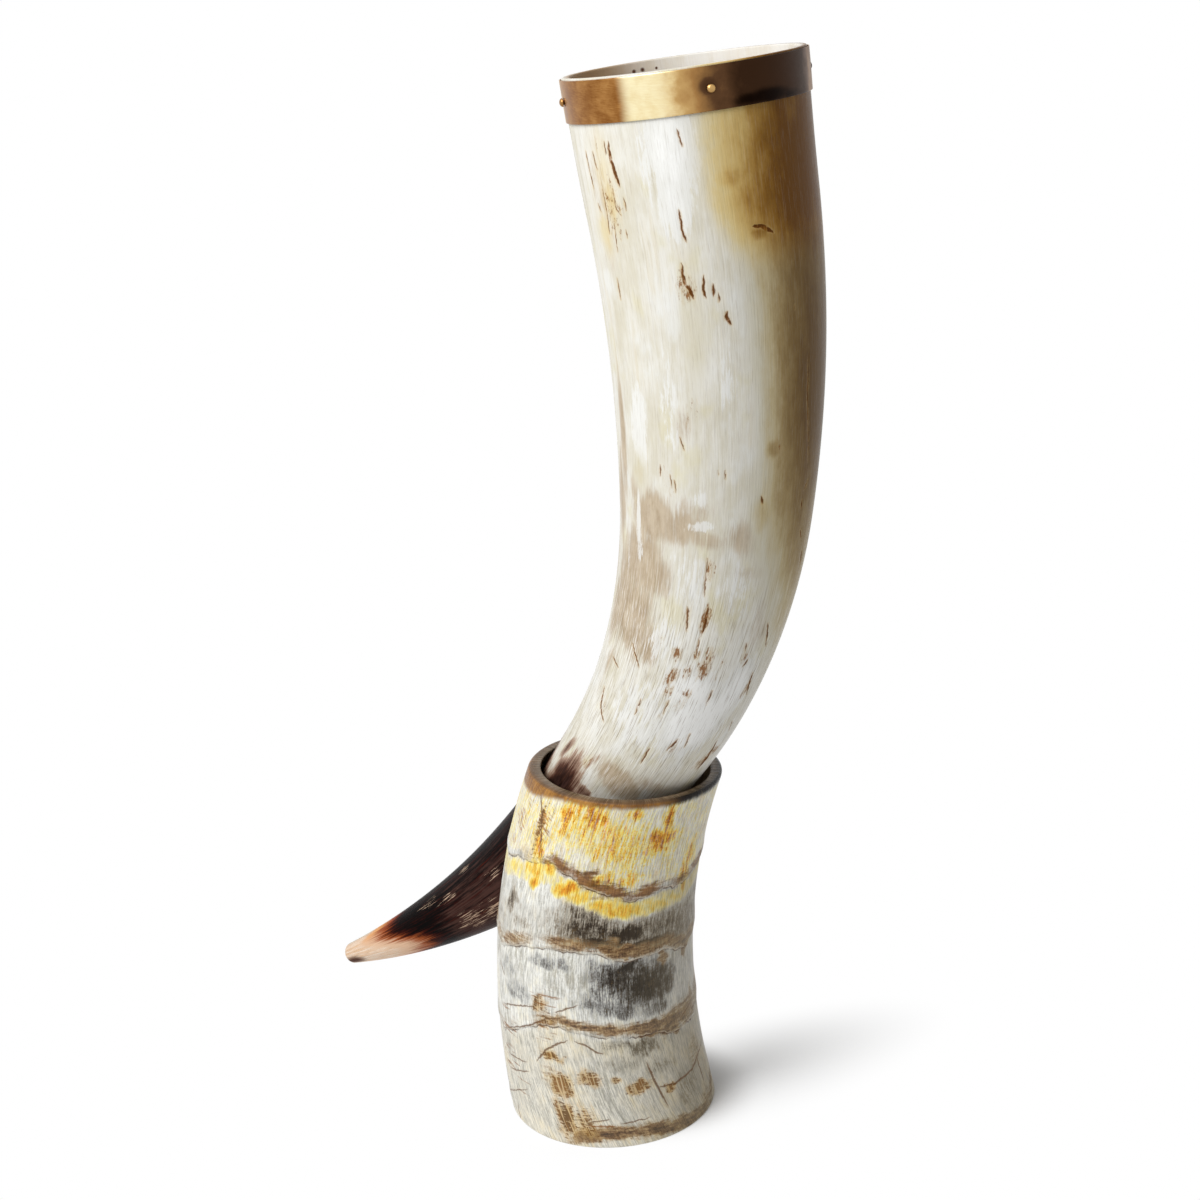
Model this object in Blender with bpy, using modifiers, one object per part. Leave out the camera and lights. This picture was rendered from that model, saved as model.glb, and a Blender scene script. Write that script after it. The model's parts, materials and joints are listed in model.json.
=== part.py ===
"""Drinking horn with a nailed brass rim, standing in a stand sawn from a bigger horn.

Metres, +Z up. The horn curves in the X-Z plane: its tip points to -X and its mouth opens upwards.
The origin is at the bottom centre of the whole object's box.
"""
import math

import bmesh
import bpy
import numpy as np

# Stand: a bowed length of horn, sawn flat at the foot and at the mouth. Its sections are ovals,
# with a radius along X and a depth along Y. The foot reaches a little past the drinking horn's mouth in Y
STAND_HEIGHT = 0.150
STAND_FOOT_RADIUS = 0.0413
STAND_WAIST_RADIUS = 0.0403
STAND_MOUTH_RADIUS = 0.0391
STAND_FOOT_PAST_MOUTH = 0.0008
STAND_WAIST_DEPTH = 0.0403
STAND_MOUTH_DEPTH = 0.0383
STAND_WALL = 0.0050
STAND_BOW = 0.0117
STAND_LEAN = 0.0051
STAND_LIP_ROUND = 0.0016
STAND_FOOT_CHAMFER = 0.0008
RIDGE_HEIGHT = 0.0007
RIDGE_WIDTH = 0.0030
RIDGE_RIPPLE = 0.0020
RIDGE_RIPPLES_ROUND = 5

# Growth ridges: share of the stand's height, slant up and down round it, and its highest side
RIDGES = (
    (0.73, 0.0090, math.radians(210.0)),
    (0.55, 0.0040, math.radians(300.0)),
    (0.31, 0.0040, math.radians(300.0)),
)

# Horn: a lower arc that stands in the stand, a middle arc, an upper arc, a throat that bends back
# a little and a straight collar
SEAT_LENGTH = 0.1854
SEAT_HEADING = math.radians(54.75)
SEAT_SHIFT = -0.0018
LOWER_ARC_PAST_SEAT = 0.005
LOWER_BEND_RADIUS = 0.380
MIDDLE_LENGTH = 0.1188
MIDDLE_BEND_RADIUS = 0.218
UPPER_LENGTH = 0.1187
UPPER_BEND_RADIUS = 0.476
THROAT_LENGTH = 0.030
THROAT_BEND_RADIUS = 0.938
COLLAR_LENGTH = 0.018
HORN_TIP_RADIUS = 0.0042
HORN_MIDDLE_RADIUS = 0.0313
HORN_MOUTH_RADIUS = 0.0449
TIP_ROUND = 0.0040
LIP_ROUND = 0.0006
WALL_AT_MOUTH = 0.0030
WALL_AT_BOTTOM = 0.0060
HOLLOW_LENGTH = 0.335
HOLLOW_ROUND = 0.0100

# Rim band and its nails
BAND_HEIGHT = 0.0155
BAND_THICKNESS = 0.0005
BAND_BELOW_LIP = 0.0006
NAIL_TURN = math.radians(-50.3)
NAIL_HEAD_RADIUS = 0.0016
NAIL_HEAD_HEIGHT = 0.0012
NAIL_SHANK_RADIUS = 0.0008
NAIL_NAMES = ("rim_nail_front", "rim_nail_right", "rim_nail_back", "rim_nail_left")

# Room between pieces that touch, and how far a cutter runs past what it cuts
CLEARANCE = 0.0003
CUT_PAST = 0.004

# Facets round and along each piece
HORN_SIDES = 40
HORN_STATIONS = 40
HOLLOW_STATIONS = 24
STAND_SIDES = 44
STAND_ROWS = 32
STAND_BORE_ROWS = 8
BAND_SIDES = 48
NAIL_SIDES = 14
ARC_POINTS = 5
HOLE_SIDES = 16
END_CAP_ANGLE = 15.0
SHARP_ANGLE = math.radians(35.0)
WELD_DISTANCE = 1e-6

# Worked out from the sizes above
STAND_FOOT_DEPTH = HORN_MOUTH_RADIUS + STAND_FOOT_PAST_MOUTH
LOWER_LENGTH = SEAT_LENGTH + LOWER_ARC_PAST_SEAT
HORN_ARCS = (
    (LOWER_LENGTH, LOWER_BEND_RADIUS),
    (MIDDLE_LENGTH, MIDDLE_BEND_RADIUS),
    (UPPER_LENGTH, UPPER_BEND_RADIUS),
    (THROAT_LENGTH, -THROAT_BEND_RADIUS),
)
HORN_LENGTH = sum(length for length, bend in HORN_ARCS) + COLLAR_LENGTH
TIP_HEADING = SEAT_HEADING - SEAT_LENGTH / LOWER_BEND_RADIUS


def stand_centre(height):
    """Sideways place of the stand's axis: a straight lean less a parabola that bows it towards -X."""
    share = height / STAND_HEIGHT
    return STAND_LEAN * share - STAND_BOW * 4.0 * share * (1.0 - share)


def stand_width(height, foot, waist, mouth):
    """Half width of the stand: the parabola through its values at the foot, waist and mouth."""
    share = height / STAND_HEIGHT
    lower = foot * (1.0 - share) * (1.0 - 2.0 * share)
    upper = mouth * share * (2.0 * share - 1.0)
    return lower + waist * 4.0 * share * (1.0 - share) + upper


def stand_radius(height):
    """Outer half width of the stand along X."""
    return stand_width(height, STAND_FOOT_RADIUS, STAND_WAIST_RADIUS, STAND_MOUTH_RADIUS)


def stand_depth(height):
    """Outer half width of the stand along Y."""
    return stand_width(height, STAND_FOOT_DEPTH, STAND_WAIST_DEPTH, STAND_MOUTH_DEPTH)


def growth_ridges(height, angle):
    """Height of the growth ridges: round-topped rings that wave up and down round the stand."""
    rise = np.zeros_like(height)
    for share, slant, high_side in RIDGES:
        turn = angle - high_side
        level = share * STAND_HEIGHT + slant * np.cos(turn)
        level = level + RIDGE_RIPPLE * np.sin(RIDGE_RIPPLES_ROUND * turn)
        rise = np.maximum(rise, RIDGE_HEIGHT * np.exp(-((height - level) / RIDGE_WIDTH) ** 2))
    return rise


def axis_from_tip(length):
    """Place (x, z) and heading at a length along the horn's axis: over the arcs, then straight on."""
    place = np.zeros(2)
    heading = TIP_HEADING
    for arc_length, bend in HORN_ARCS:
        step = min(length, arc_length)
        turn = step / bend
        chord = 2.0 * bend * math.sin(turn / 2.0)
        middle = heading + turn / 2.0
        place = place + chord * np.array((math.cos(middle), math.sin(middle)))
        heading += turn
        length -= step
    return place + length * np.array((math.cos(heading), math.sin(heading))), heading


SEAT_PLACE = np.array((STAND_LEAN + SEAT_SHIFT, STAND_HEIGHT))
TIP_PLACE = SEAT_PLACE - axis_from_tip(SEAT_LENGTH)[0]
LIFT_CENTRE = SEAT_PLACE + LOWER_BEND_RADIUS * np.array((-math.sin(SEAT_HEADING), math.cos(SEAT_HEADING)))


def horn_axis(length):
    """The axis point seen from the lift axis, as (x, 0, z), and the heading there."""
    place, heading = axis_from_tip(length)
    x, z = TIP_PLACE + place - LIFT_CENTRE
    return (x, 0.0, z), heading


def horn_radius(length):
    """Outer radius of the horn: the parabola through its tip, middle and mouth radii."""
    share = length / HORN_LENGTH
    slope = 4.0 * HORN_MIDDLE_RADIUS - 3.0 * HORN_TIP_RADIUS - HORN_MOUTH_RADIUS
    bend = 2.0 * (HORN_TIP_RADIUS + HORN_MOUTH_RADIUS - 2.0 * HORN_MIDDLE_RADIUS)
    return HORN_TIP_RADIUS + slope * share + bend * share**2


def hollow_radius(length):
    """Radius of the hollow: the horn's less a wall that thins evenly from the bottom to the mouth."""
    share = (HORN_LENGTH - length) / HOLLOW_LENGTH
    wall = WALL_AT_MOUTH + (WALL_AT_BOTTOM - WALL_AT_MOUTH) * share
    return horn_radius(length) - wall


def edge_angles(first, last):
    """Evenly spaced angles of a rounded edge, given in degrees and returned in radians."""
    return np.radians(np.linspace(first, last, ARC_POINTS))


def outer_stations():
    """Lengths and radii along the horn's outside, with a rounded tip and a softened lip."""
    stations = []
    for angle in edge_angles(END_CAP_ANGLE, 90.0 - END_CAP_ANGLE):
        length = TIP_ROUND * (1.0 - math.cos(angle))
        stations.append((length, horn_radius(TIP_ROUND) * math.sin(angle)))
    for length in np.linspace(TIP_ROUND, HORN_LENGTH - LIP_ROUND, HORN_STATIONS):
        stations.append((length, horn_radius(length)))
    stations.append((HORN_LENGTH, horn_radius(HORN_LENGTH) - LIP_ROUND))
    return stations


def hollow_stations():
    """Lengths and radii along the hollow, from its rounded bottom to past the mouth."""
    bottom = HORN_LENGTH - HOLLOW_LENGTH
    stations = []
    for angle in edge_angles(END_CAP_ANGLE, 90.0 - END_CAP_ANGLE):
        length = bottom + HOLLOW_ROUND * (1.0 - math.cos(angle))
        stations.append((length, hollow_radius(bottom + HOLLOW_ROUND) * math.sin(angle)))
    for length in np.linspace(bottom + HOLLOW_ROUND, HORN_LENGTH - LIP_ROUND, HOLLOW_STATIONS):
        stations.append((length, hollow_radius(length)))
    stations.append((HORN_LENGTH, hollow_radius(HORN_LENGTH) + LIP_ROUND))
    stations.append((HORN_LENGTH + CUT_PAST, hollow_radius(HORN_LENGTH) + LIP_ROUND))
    return stations


def seat_stations():
    """Lengths and radii of the room that the stand leaves for the horn."""
    return [(length, radius + CLEARANCE) for length, radius in outer_stations()]


def new_collection(name):
    """A collection of that name in the scene."""
    collection = bpy.data.collections.new(name)
    bpy.context.scene.collection.children.link(collection)
    return collection


def new_material(name, colour, roughness, metallic):
    """A Principled material."""
    material = bpy.data.materials.new(name)
    material.use_nodes = True
    shader = material.node_tree.nodes["Principled BSDF"]
    shader.inputs["Base Color"].default_value = (*colour, 1.0)
    shader.inputs["Roughness"].default_value = roughness
    shader.inputs["Metallic"].default_value = metallic
    return material


def new_empty(name, parent, location):
    """An empty that carries other objects."""
    empty = bpy.data.objects.new(name, None)
    empty.parent = parent
    empty.location = location
    parts.objects.link(empty)
    return empty


def evaluated_mesh(source):
    """The object's evaluated mesh, welded, in its own coordinates."""
    bpy.context.view_layer.update()
    graph = bpy.context.evaluated_depsgraph_get()
    mesh = bpy.data.meshes.new_from_object(source.evaluated_get(graph))
    shape = bmesh.new()
    shape.from_mesh(mesh)
    bmesh.ops.remove_doubles(shape, verts=shape.verts, dist=WELD_DISTANCE)
    shape.to_mesh(mesh)
    shape.free()
    return mesh


def swept_mesh(stations, sides):
    """A tube of varying radius along the horn's axis, with filled ends."""
    curve = bpy.data.curves.new("sweep", "CURVE")
    curve.dimensions = "3D"
    curve.bevel_depth = 1.0
    curve.bevel_resolution = sides // 2 - 2
    curve.use_fill_caps = True
    spline = curve.splines.new("POLY")
    spline.points.add(len(stations) - 1)
    for point, (length, radius) in zip(spline.points, stations):
        point.co = (*horn_axis(length)[0], 1.0)
        point.radius = radius
    sweep = bpy.data.objects.new("sweep", curve)
    parts.objects.link(sweep)
    mesh = evaluated_mesh(sweep)
    bpy.data.objects.remove(sweep)
    bpy.data.curves.remove(curve)
    return mesh


def turned_mesh(profile, sides, closed):
    """A profile of (radius, height) points turned round Z by a Screw."""
    points = [(radius, 0.0, height) for radius, height in profile]
    edges = [(number, number + 1) for number in range(len(points) - 1)]
    if closed:
        edges.append((len(points) - 1, 0))
    mesh = bpy.data.meshes.new("profile")
    mesh.from_pydata(points, edges, [])
    turned = bpy.data.objects.new("profile", mesh)
    parts.objects.link(turned)
    screw = turned.modifiers.new("turn", "SCREW")
    screw.steps = sides
    screw.render_steps = sides
    screw.use_merge_vertices = True
    screw.merge_threshold = WELD_DISTANCE
    result = evaluated_mesh(turned)
    bpy.data.objects.remove(turned)
    bpy.data.meshes.remove(mesh)
    return result


def new_part(name, mesh, material, parent):
    """A named piece, smooth but for its sharp edges."""
    mesh.name = name
    mesh.materials.clear()
    mesh.materials.append(material)
    mesh.shade_smooth()
    mesh.set_sharp_from_angle(angle=SHARP_ANGLE)
    part = bpy.data.objects.new(name, mesh)
    part.parent = parent
    parts.objects.link(part)
    return part


def new_cutter(name, mesh, parent):
    """A tool shape that is cut away from a piece and isn't itself a piece."""
    mesh.name = name
    cutter = bpy.data.objects.new(name, mesh)
    cutter.parent = parent
    cutter.hide_render = True
    cutter.display_type = "WIRE"
    cutters.objects.link(cutter)
    return cutter


def cut_away(part, cutter):
    """Cut the tool shape out of the piece."""
    cut = part.modifiers.new(cutter.name, "BOOLEAN")
    cut.operation = "DIFFERENCE"
    cut.solver = "EXACT"
    cut.object = cutter


def stand_profile():
    """The stand's wall, down its outside with a rounded lip and up its bore."""
    profile = []
    lip_level = STAND_HEIGHT - STAND_LIP_ROUND
    for angle in edge_angles(90.0, 0.0):
        radius = stand_radius(lip_level) - STAND_LIP_ROUND * (1.0 - math.cos(angle))
        profile.append((radius, lip_level + STAND_LIP_ROUND * math.sin(angle)))
    for height in np.linspace(lip_level, STAND_FOOT_CHAMFER, STAND_ROWS)[1:]:
        profile.append((stand_radius(height), height))
    profile.append((stand_radius(0.0) - STAND_FOOT_CHAMFER, 0.0))
    for height in np.linspace(0.0, STAND_HEIGHT, STAND_BORE_ROWS):
        profile.append((stand_radius(height) - STAND_WALL, height))
    return profile


def stand_mesh():
    """The turned wall with growth ridges raised on its outside, drawn to an oval and bowed."""
    mesh = turned_mesh(stand_profile(), STAND_SIDES, True)
    place = np.empty(len(mesh.vertices) * 3)
    mesh.vertices.foreach_get("co", place)
    x, y, z = place.reshape(-1, 3).T
    radius = np.hypot(x, y)
    outside = radius > stand_radius(z) - STAND_FOOT_CHAMFER / 2.0
    fade = np.clip(np.minimum(z, STAND_HEIGHT - z) / RIDGE_WIDTH - 1.0, 0.0, 1.0)
    swell = 1.0 + outside * fade * growth_ridges(z, np.arctan2(y, x)) / radius
    oval = stand_depth(z) / stand_radius(z)
    bowed = np.stack((x * swell + stand_centre(z), y * swell * oval, z), axis=1)
    mesh.vertices.foreach_set("co", bowed.ravel())
    return mesh


def band_profile():
    """The strip's section: down its outside and up its inside, both as steep as the horn there."""
    top = -BAND_BELOW_LIP
    bottom = top - BAND_HEIGHT
    inner = [horn_radius(HORN_LENGTH + height) + CLEARANCE for height in (bottom, top)]
    return (
        (inner[1] + BAND_THICKNESS, top),
        (inner[0] + BAND_THICKNESS, bottom),
        (inner[0], bottom),
        (inner[1], top),
    )


def nail_profile(seat_radius, wall_radius):
    """A domed head and a straight shank that ends flush inside the horn's wall."""
    profile = []
    for angle in edge_angles(90.0, 0.0):
        profile.append((NAIL_HEAD_RADIUS * math.cos(angle), NAIL_HEAD_HEIGHT * math.sin(angle)))
    profile[0] = (0.0, NAIL_HEAD_HEIGHT)
    profile.append((NAIL_SHANK_RADIUS, 0.0))
    profile.append((NAIL_SHANK_RADIUS, wall_radius - seat_radius))
    profile.append((0.0, wall_radius - seat_radius))
    return profile


def hole_mesh(first, last):
    """A round hole's tool shape along Z, from the first height to the last."""
    shape = bmesh.new()
    bmesh.ops.create_cone(
        shape, cap_ends=True, segments=HOLE_SIDES, depth=last - first,
        radius1=NAIL_SHANK_RADIUS + CLEARANCE, radius2=NAIL_SHANK_RADIUS + CLEARANCE)
    bmesh.ops.translate(shape, verts=shape.verts, vec=(0.0, 0.0, (first + last) / 2.0))
    mesh = bpy.data.meshes.new("hole")
    shape.to_mesh(mesh)
    shape.free()
    return mesh


def build_stand(root, lift_axis):
    """The stand, with its mouth and side hole cut to the horn that stands in it."""
    material = new_material("stand_horn", (0.55, 0.45, 0.30), 0.40, 0.0)
    stand = new_part("stand", stand_mesh(), material, root)
    seat = new_cutter("horn_seat", swept_mesh(seat_stations(), HORN_SIDES), lift_axis)
    cut_away(stand, seat)


def build_horn(lift_axis):
    """The horn with its hollow."""
    material = new_material("polished_horn", (0.80, 0.76, 0.66), 0.25, 0.0)
    horn = new_part("drinking_horn", swept_mesh(outer_stations(), HORN_SIDES), material, lift_axis)
    hollow = new_cutter("hollow", swept_mesh(hollow_stations(), HORN_SIDES), lift_axis)
    cut_away(horn, hollow)
    return horn


def build_rim(lift_axis, horn):
    """The band and its nails, on an empty at the middle of the mouth with +Z along the horn's axis."""
    brass = new_material("brass", (0.66, 0.45, 0.18), 0.35, 1.0)
    place, heading = horn_axis(HORN_LENGTH)
    rim = new_empty("rim", lift_axis, place)
    rim.rotation_euler = (0.0, math.pi / 2.0 - heading, 0.0)
    band = new_part("rim_band", turned_mesh(band_profile(), BAND_SIDES, True), brass, rim)

    nail_level = -BAND_BELOW_LIP - BAND_HEIGHT / 2.0
    nail_length = HORN_LENGTH + nail_level
    wall_radius = hollow_radius(nail_length)
    seat_radius = horn_radius(nail_length) + BAND_THICKNESS + 2.0 * CLEARANCE
    for number, name in enumerate(NAIL_NAMES):
        angle = NAIL_TURN + number * 2.0 * math.pi / len(NAIL_NAMES)
        spot = new_empty(name + "_spot", rim, (0.0, 0.0, nail_level))
        spot.rotation_euler = (0.0, math.pi / 2.0, angle)
        hole = new_cutter(name + "_hole", hole_mesh(wall_radius - CUT_PAST, seat_radius + CUT_PAST), spot)
        cut_away(horn, hole)
        cut_away(band, hole)
        shape = turned_mesh(nail_profile(seat_radius, wall_radius), NAIL_SIDES, False)
        nail = new_part(name, shape, brass, spot)
        nail.location = (0.0, 0.0, seat_radius)


def box_of_parts():
    """Lowest and highest corners of every piece, as evaluated in the world."""
    bpy.context.view_layer.update()
    graph = bpy.context.evaluated_depsgraph_get()
    corners = []
    for part in parts.objects:
        if part.type != "MESH":
            continue
        shape = part.evaluated_get(graph)
        place = np.empty(len(shape.data.vertices) * 3)
        shape.data.vertices.foreach_get("co", place)
        turn = np.array(shape.matrix_world)
        corners.append(place.reshape(-1, 3) @ turn[:3, :3].T + turn[:3, 3])
    corners = np.concatenate(corners)
    return corners.min(axis=0), corners.max(axis=0)


for leftover in list(bpy.data.objects):
    bpy.data.objects.remove(leftover)
parts = new_collection("drinking_horn_in_stand")
cutters = new_collection("cutters")
origin = new_empty("object_origin", None, (0.0, 0.0, 0.0))
lift = new_empty("lift_axis", origin, (LIFT_CENTRE[0], 0.0, LIFT_CENTRE[1]))
build_stand(origin, lift)
build_rim(lift, build_horn(lift))

low, high = box_of_parts()
origin.location = (-(low[0] + high[0]) / 2.0, -(low[1] + high[1]) / 2.0, -low[2])
low, high = box_of_parts()
print("box in metres:", low.round(5), high.round(5))
print("lift axis in metres:", [round(value, 5) for value in lift.matrix_world.translation])
print("stand's foot centre in metres:", [round(value, 5) for value in origin.location])
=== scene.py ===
# %% [markdown]
# # Dressing a drinking horn in its stand
# The object is an ox horn turned into a cup, with a strip of brass nailed round its mouth, and it
# stands in a short length of a bigger horn. The CAD model gives every size and place, so the lesson
# starts by loading it as a fixed frame. Each solid is then replaced by a finer surface with a finish.

# %% Load the frame
import json
import math

import bpy
import numpy as np
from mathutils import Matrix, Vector


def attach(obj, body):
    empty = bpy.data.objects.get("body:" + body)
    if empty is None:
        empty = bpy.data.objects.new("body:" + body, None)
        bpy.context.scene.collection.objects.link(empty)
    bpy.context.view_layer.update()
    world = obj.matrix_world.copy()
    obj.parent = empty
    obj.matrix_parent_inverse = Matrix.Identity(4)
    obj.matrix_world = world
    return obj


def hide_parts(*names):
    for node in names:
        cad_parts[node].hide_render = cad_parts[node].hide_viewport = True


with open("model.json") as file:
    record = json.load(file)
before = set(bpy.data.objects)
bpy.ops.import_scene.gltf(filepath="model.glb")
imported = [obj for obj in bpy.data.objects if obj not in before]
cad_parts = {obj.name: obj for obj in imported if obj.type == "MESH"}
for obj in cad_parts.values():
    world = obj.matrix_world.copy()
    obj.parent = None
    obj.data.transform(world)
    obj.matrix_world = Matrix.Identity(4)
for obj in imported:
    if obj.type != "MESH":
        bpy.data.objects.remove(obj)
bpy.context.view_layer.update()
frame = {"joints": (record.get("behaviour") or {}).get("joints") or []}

# %% [markdown]
# The horn's axis is a chain of circle arcs: a lower arc that stands in the stand, a middle arc, an
# upper arc, a throat that bends back a little and a straight collar under the brass. The sizes are
# the CAD model's own. The joint's place then tells where the stand's foot is, because the joint sits
# at the centre of the lower arc.

# %% Sizes of the horn
MM = 0.001
SEAT_LENGTH = 185.4 * MM
SEAT_HEADING = math.radians(54.75)
SEAT_SHIFT = -1.8 * MM
LOWER_BEND = 380.0 * MM
HORN_ARCS = (
    (SEAT_LENGTH + 5.0 * MM, LOWER_BEND),
    (118.8 * MM, 218.0 * MM),
    (118.7 * MM, 476.0 * MM),
    (30.0 * MM, -938.0 * MM),
)
COLLAR_LENGTH = 18.0 * MM
HORN_LENGTH = sum(length for length, bend in HORN_ARCS) + COLLAR_LENGTH
TIP_HEADING = SEAT_HEADING - SEAT_LENGTH / LOWER_BEND
TIP_RADIUS = 4.2 * MM
MIDDLE_RADIUS = 31.3 * MM
MOUTH_RADIUS = 44.9 * MM
TIP_ROUND = 4.0 * MM
LIP_ROUND = 0.6 * MM
WALL_AT_MOUTH = 3.0 * MM
WALL_AT_BOTTOM = 6.0 * MM
HOLLOW_LENGTH = 335.0 * MM
HOLLOW_ROUND = 10.0 * MM
CLEARANCE = 0.3 * MM

# %% Sizes of the stand
STAND_HEIGHT = 150.0 * MM
STAND_RADII = (41.3 * MM, 40.3 * MM, 39.1 * MM)
STAND_DEPTHS = (45.7 * MM, 40.3 * MM, 38.3 * MM)
STAND_WALL = 5.0 * MM
STAND_BOW = 11.7 * MM
STAND_LEAN = 5.1 * MM
STAND_LIP_ROUND = 1.6 * MM
STAND_FOOT_CHAMFER = 0.8 * MM

lift = frame["joints"][0]["pos_m"]
seat_x = STAND_LEAN + SEAT_SHIFT
FOOT_X = lift[0] - (seat_x - LOWER_BEND * math.sin(SEAT_HEADING))
print("stand's foot centre at x =", round(FOOT_X / MM, 2), "mm, horn", round(HORN_LENGTH / MM, 1), "mm long")

# %% [markdown]
# The camera stands a metre away, a little to the right and above, with a long lens. Its place was
# found by fitting the outlines of the photograph, so the marks on the real horn can be placed by
# the pixel at which they show. The same numbers serve the camera object and the projection below.

# %% Camera
PHOTO_SIZE = 1200.0
FOCAL_PIXELS = 2597.6
CAMERA_SIDE = math.radians(30.0)
CAMERA_TURN = math.radians(30.354)
CAMERA_DIP = math.radians(19.069)
CAMERA_DISTANCE = 965.2 * MM
CAMERA_HEIGHT = 553.0 * MM
SENSOR = 36.0

camera_place = np.array((
    FOOT_X + math.sin(CAMERA_SIDE) * CAMERA_DISTANCE,
    -math.cos(CAMERA_SIDE) * CAMERA_DISTANCE,
    CAMERA_HEIGHT,
))
camera_forward = np.array((
    -math.sin(CAMERA_TURN) * math.cos(CAMERA_DIP),
    math.cos(CAMERA_TURN) * math.cos(CAMERA_DIP),
    -math.sin(CAMERA_DIP),
))
camera_right = np.array((math.cos(CAMERA_TURN), math.sin(CAMERA_TURN), 0.0))
camera_up = np.cross(camera_right, camera_forward)

camera = bpy.data.objects.new("camera", bpy.data.cameras.new("camera"))
camera.data.sensor_width = SENSOR
camera.data.lens = SENSOR * FOCAL_PIXELS / PHOTO_SIZE
camera.location = camera_place
camera.rotation_euler = Vector(camera_forward).to_track_quat("-Z", "Y").to_euler()
bpy.context.scene.collection.objects.link(camera)
bpy.context.scene.camera = camera
print("lens", round(camera.data.lens, 1), "mm")


# %% [markdown]
# Both horns are round things drawn out along a line, so a surface is a grid: one parameter runs along
# and one runs round. A few small helpers turn such a grid into a mesh and hang values on its points
# for the materials to read. Everything is computed as whole arrays.

# %% Grid to mesh
def grid_faces(rows, columns, closed_rows=False):
    """Quads between neighbouring rows and columns; the last column joins the first again."""
    first = np.arange(rows if closed_rows else rows - 1)[:, None] * columns
    after = (first + columns) % (rows * columns)
    column = np.arange(columns)
    beside = np.roll(column, -1)
    quads = np.stack((first + column, first + beside, after + beside, after + column), axis=-1)
    return quads.reshape(-1, 4).tolist()


def capped_faces(rows, columns):
    """The quads of an open grid, with one flat face over each end."""
    ring = np.arange(columns)
    return grid_faces(rows, columns) + [ring[::-1].tolist(), (ring + (rows - 1) * columns).tolist()]


def ring_turns(columns):
    """Equal angles once round, from half a turn before 0 on."""
    return np.linspace(-math.pi, math.pi, columns, endpoint=False)


def new_piece(name, points, faces):
    """A smooth mesh object at the origin, made of an array of points and a list of faces."""
    mesh = bpy.data.meshes.new(name)
    mesh.from_pydata(points.reshape(-1, 3), [], faces)
    mesh.shade_smooth()
    piece = bpy.data.objects.new(name, mesh)
    bpy.context.scene.collection.objects.link(piece)
    return piece


def hang_values(piece, **values):
    """Named values on the points of a mesh: one number or one vector for each point."""
    for name, value in values.items():
        kind, field = ("FLOAT_VECTOR", "vector") if value.ndim == 2 else ("FLOAT", "value")
        attribute = piece.data.attributes.new(name, kind, "POINT")
        attribute.data.foreach_set(field, value.astype(np.float32).ravel())


# %% [markdown]
# A mark on the real horn is known by its place in the photograph. Projecting every point of a surface
# gives its pixel, and the nearest point that faces the camera is where the mark lies. From there on it
# is part of the surface, in millimetres round and along it, and looks right from any side.

# %% Photograph to surface
def photo_pixels(points):
    """Perspective: the places across and up from the camera, over the depth, times the focal length."""
    seen = points - camera_place
    scale = FOCAL_PIXELS / (seen @ camera_forward)
    across = PHOTO_SIZE / 2 + scale * (seen @ camera_right)
    down = PHOTO_SIZE / 2 - scale * (seen @ camera_up)
    return np.stack((across, down), axis=-1)


def facing_camera(points, outward):
    """Whether the way out of the surface leads towards the camera."""
    return np.sum((camera_place - points) * outward, axis=-1) > 0.0


# %% A round surface laid flat
FAR = 9.0  # mm from a line, and more
LINE_REACH = 1.5  # mm to each side within which a line keeps its width
FARTHEST = 1e6  # keeps the powers of far points small


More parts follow.
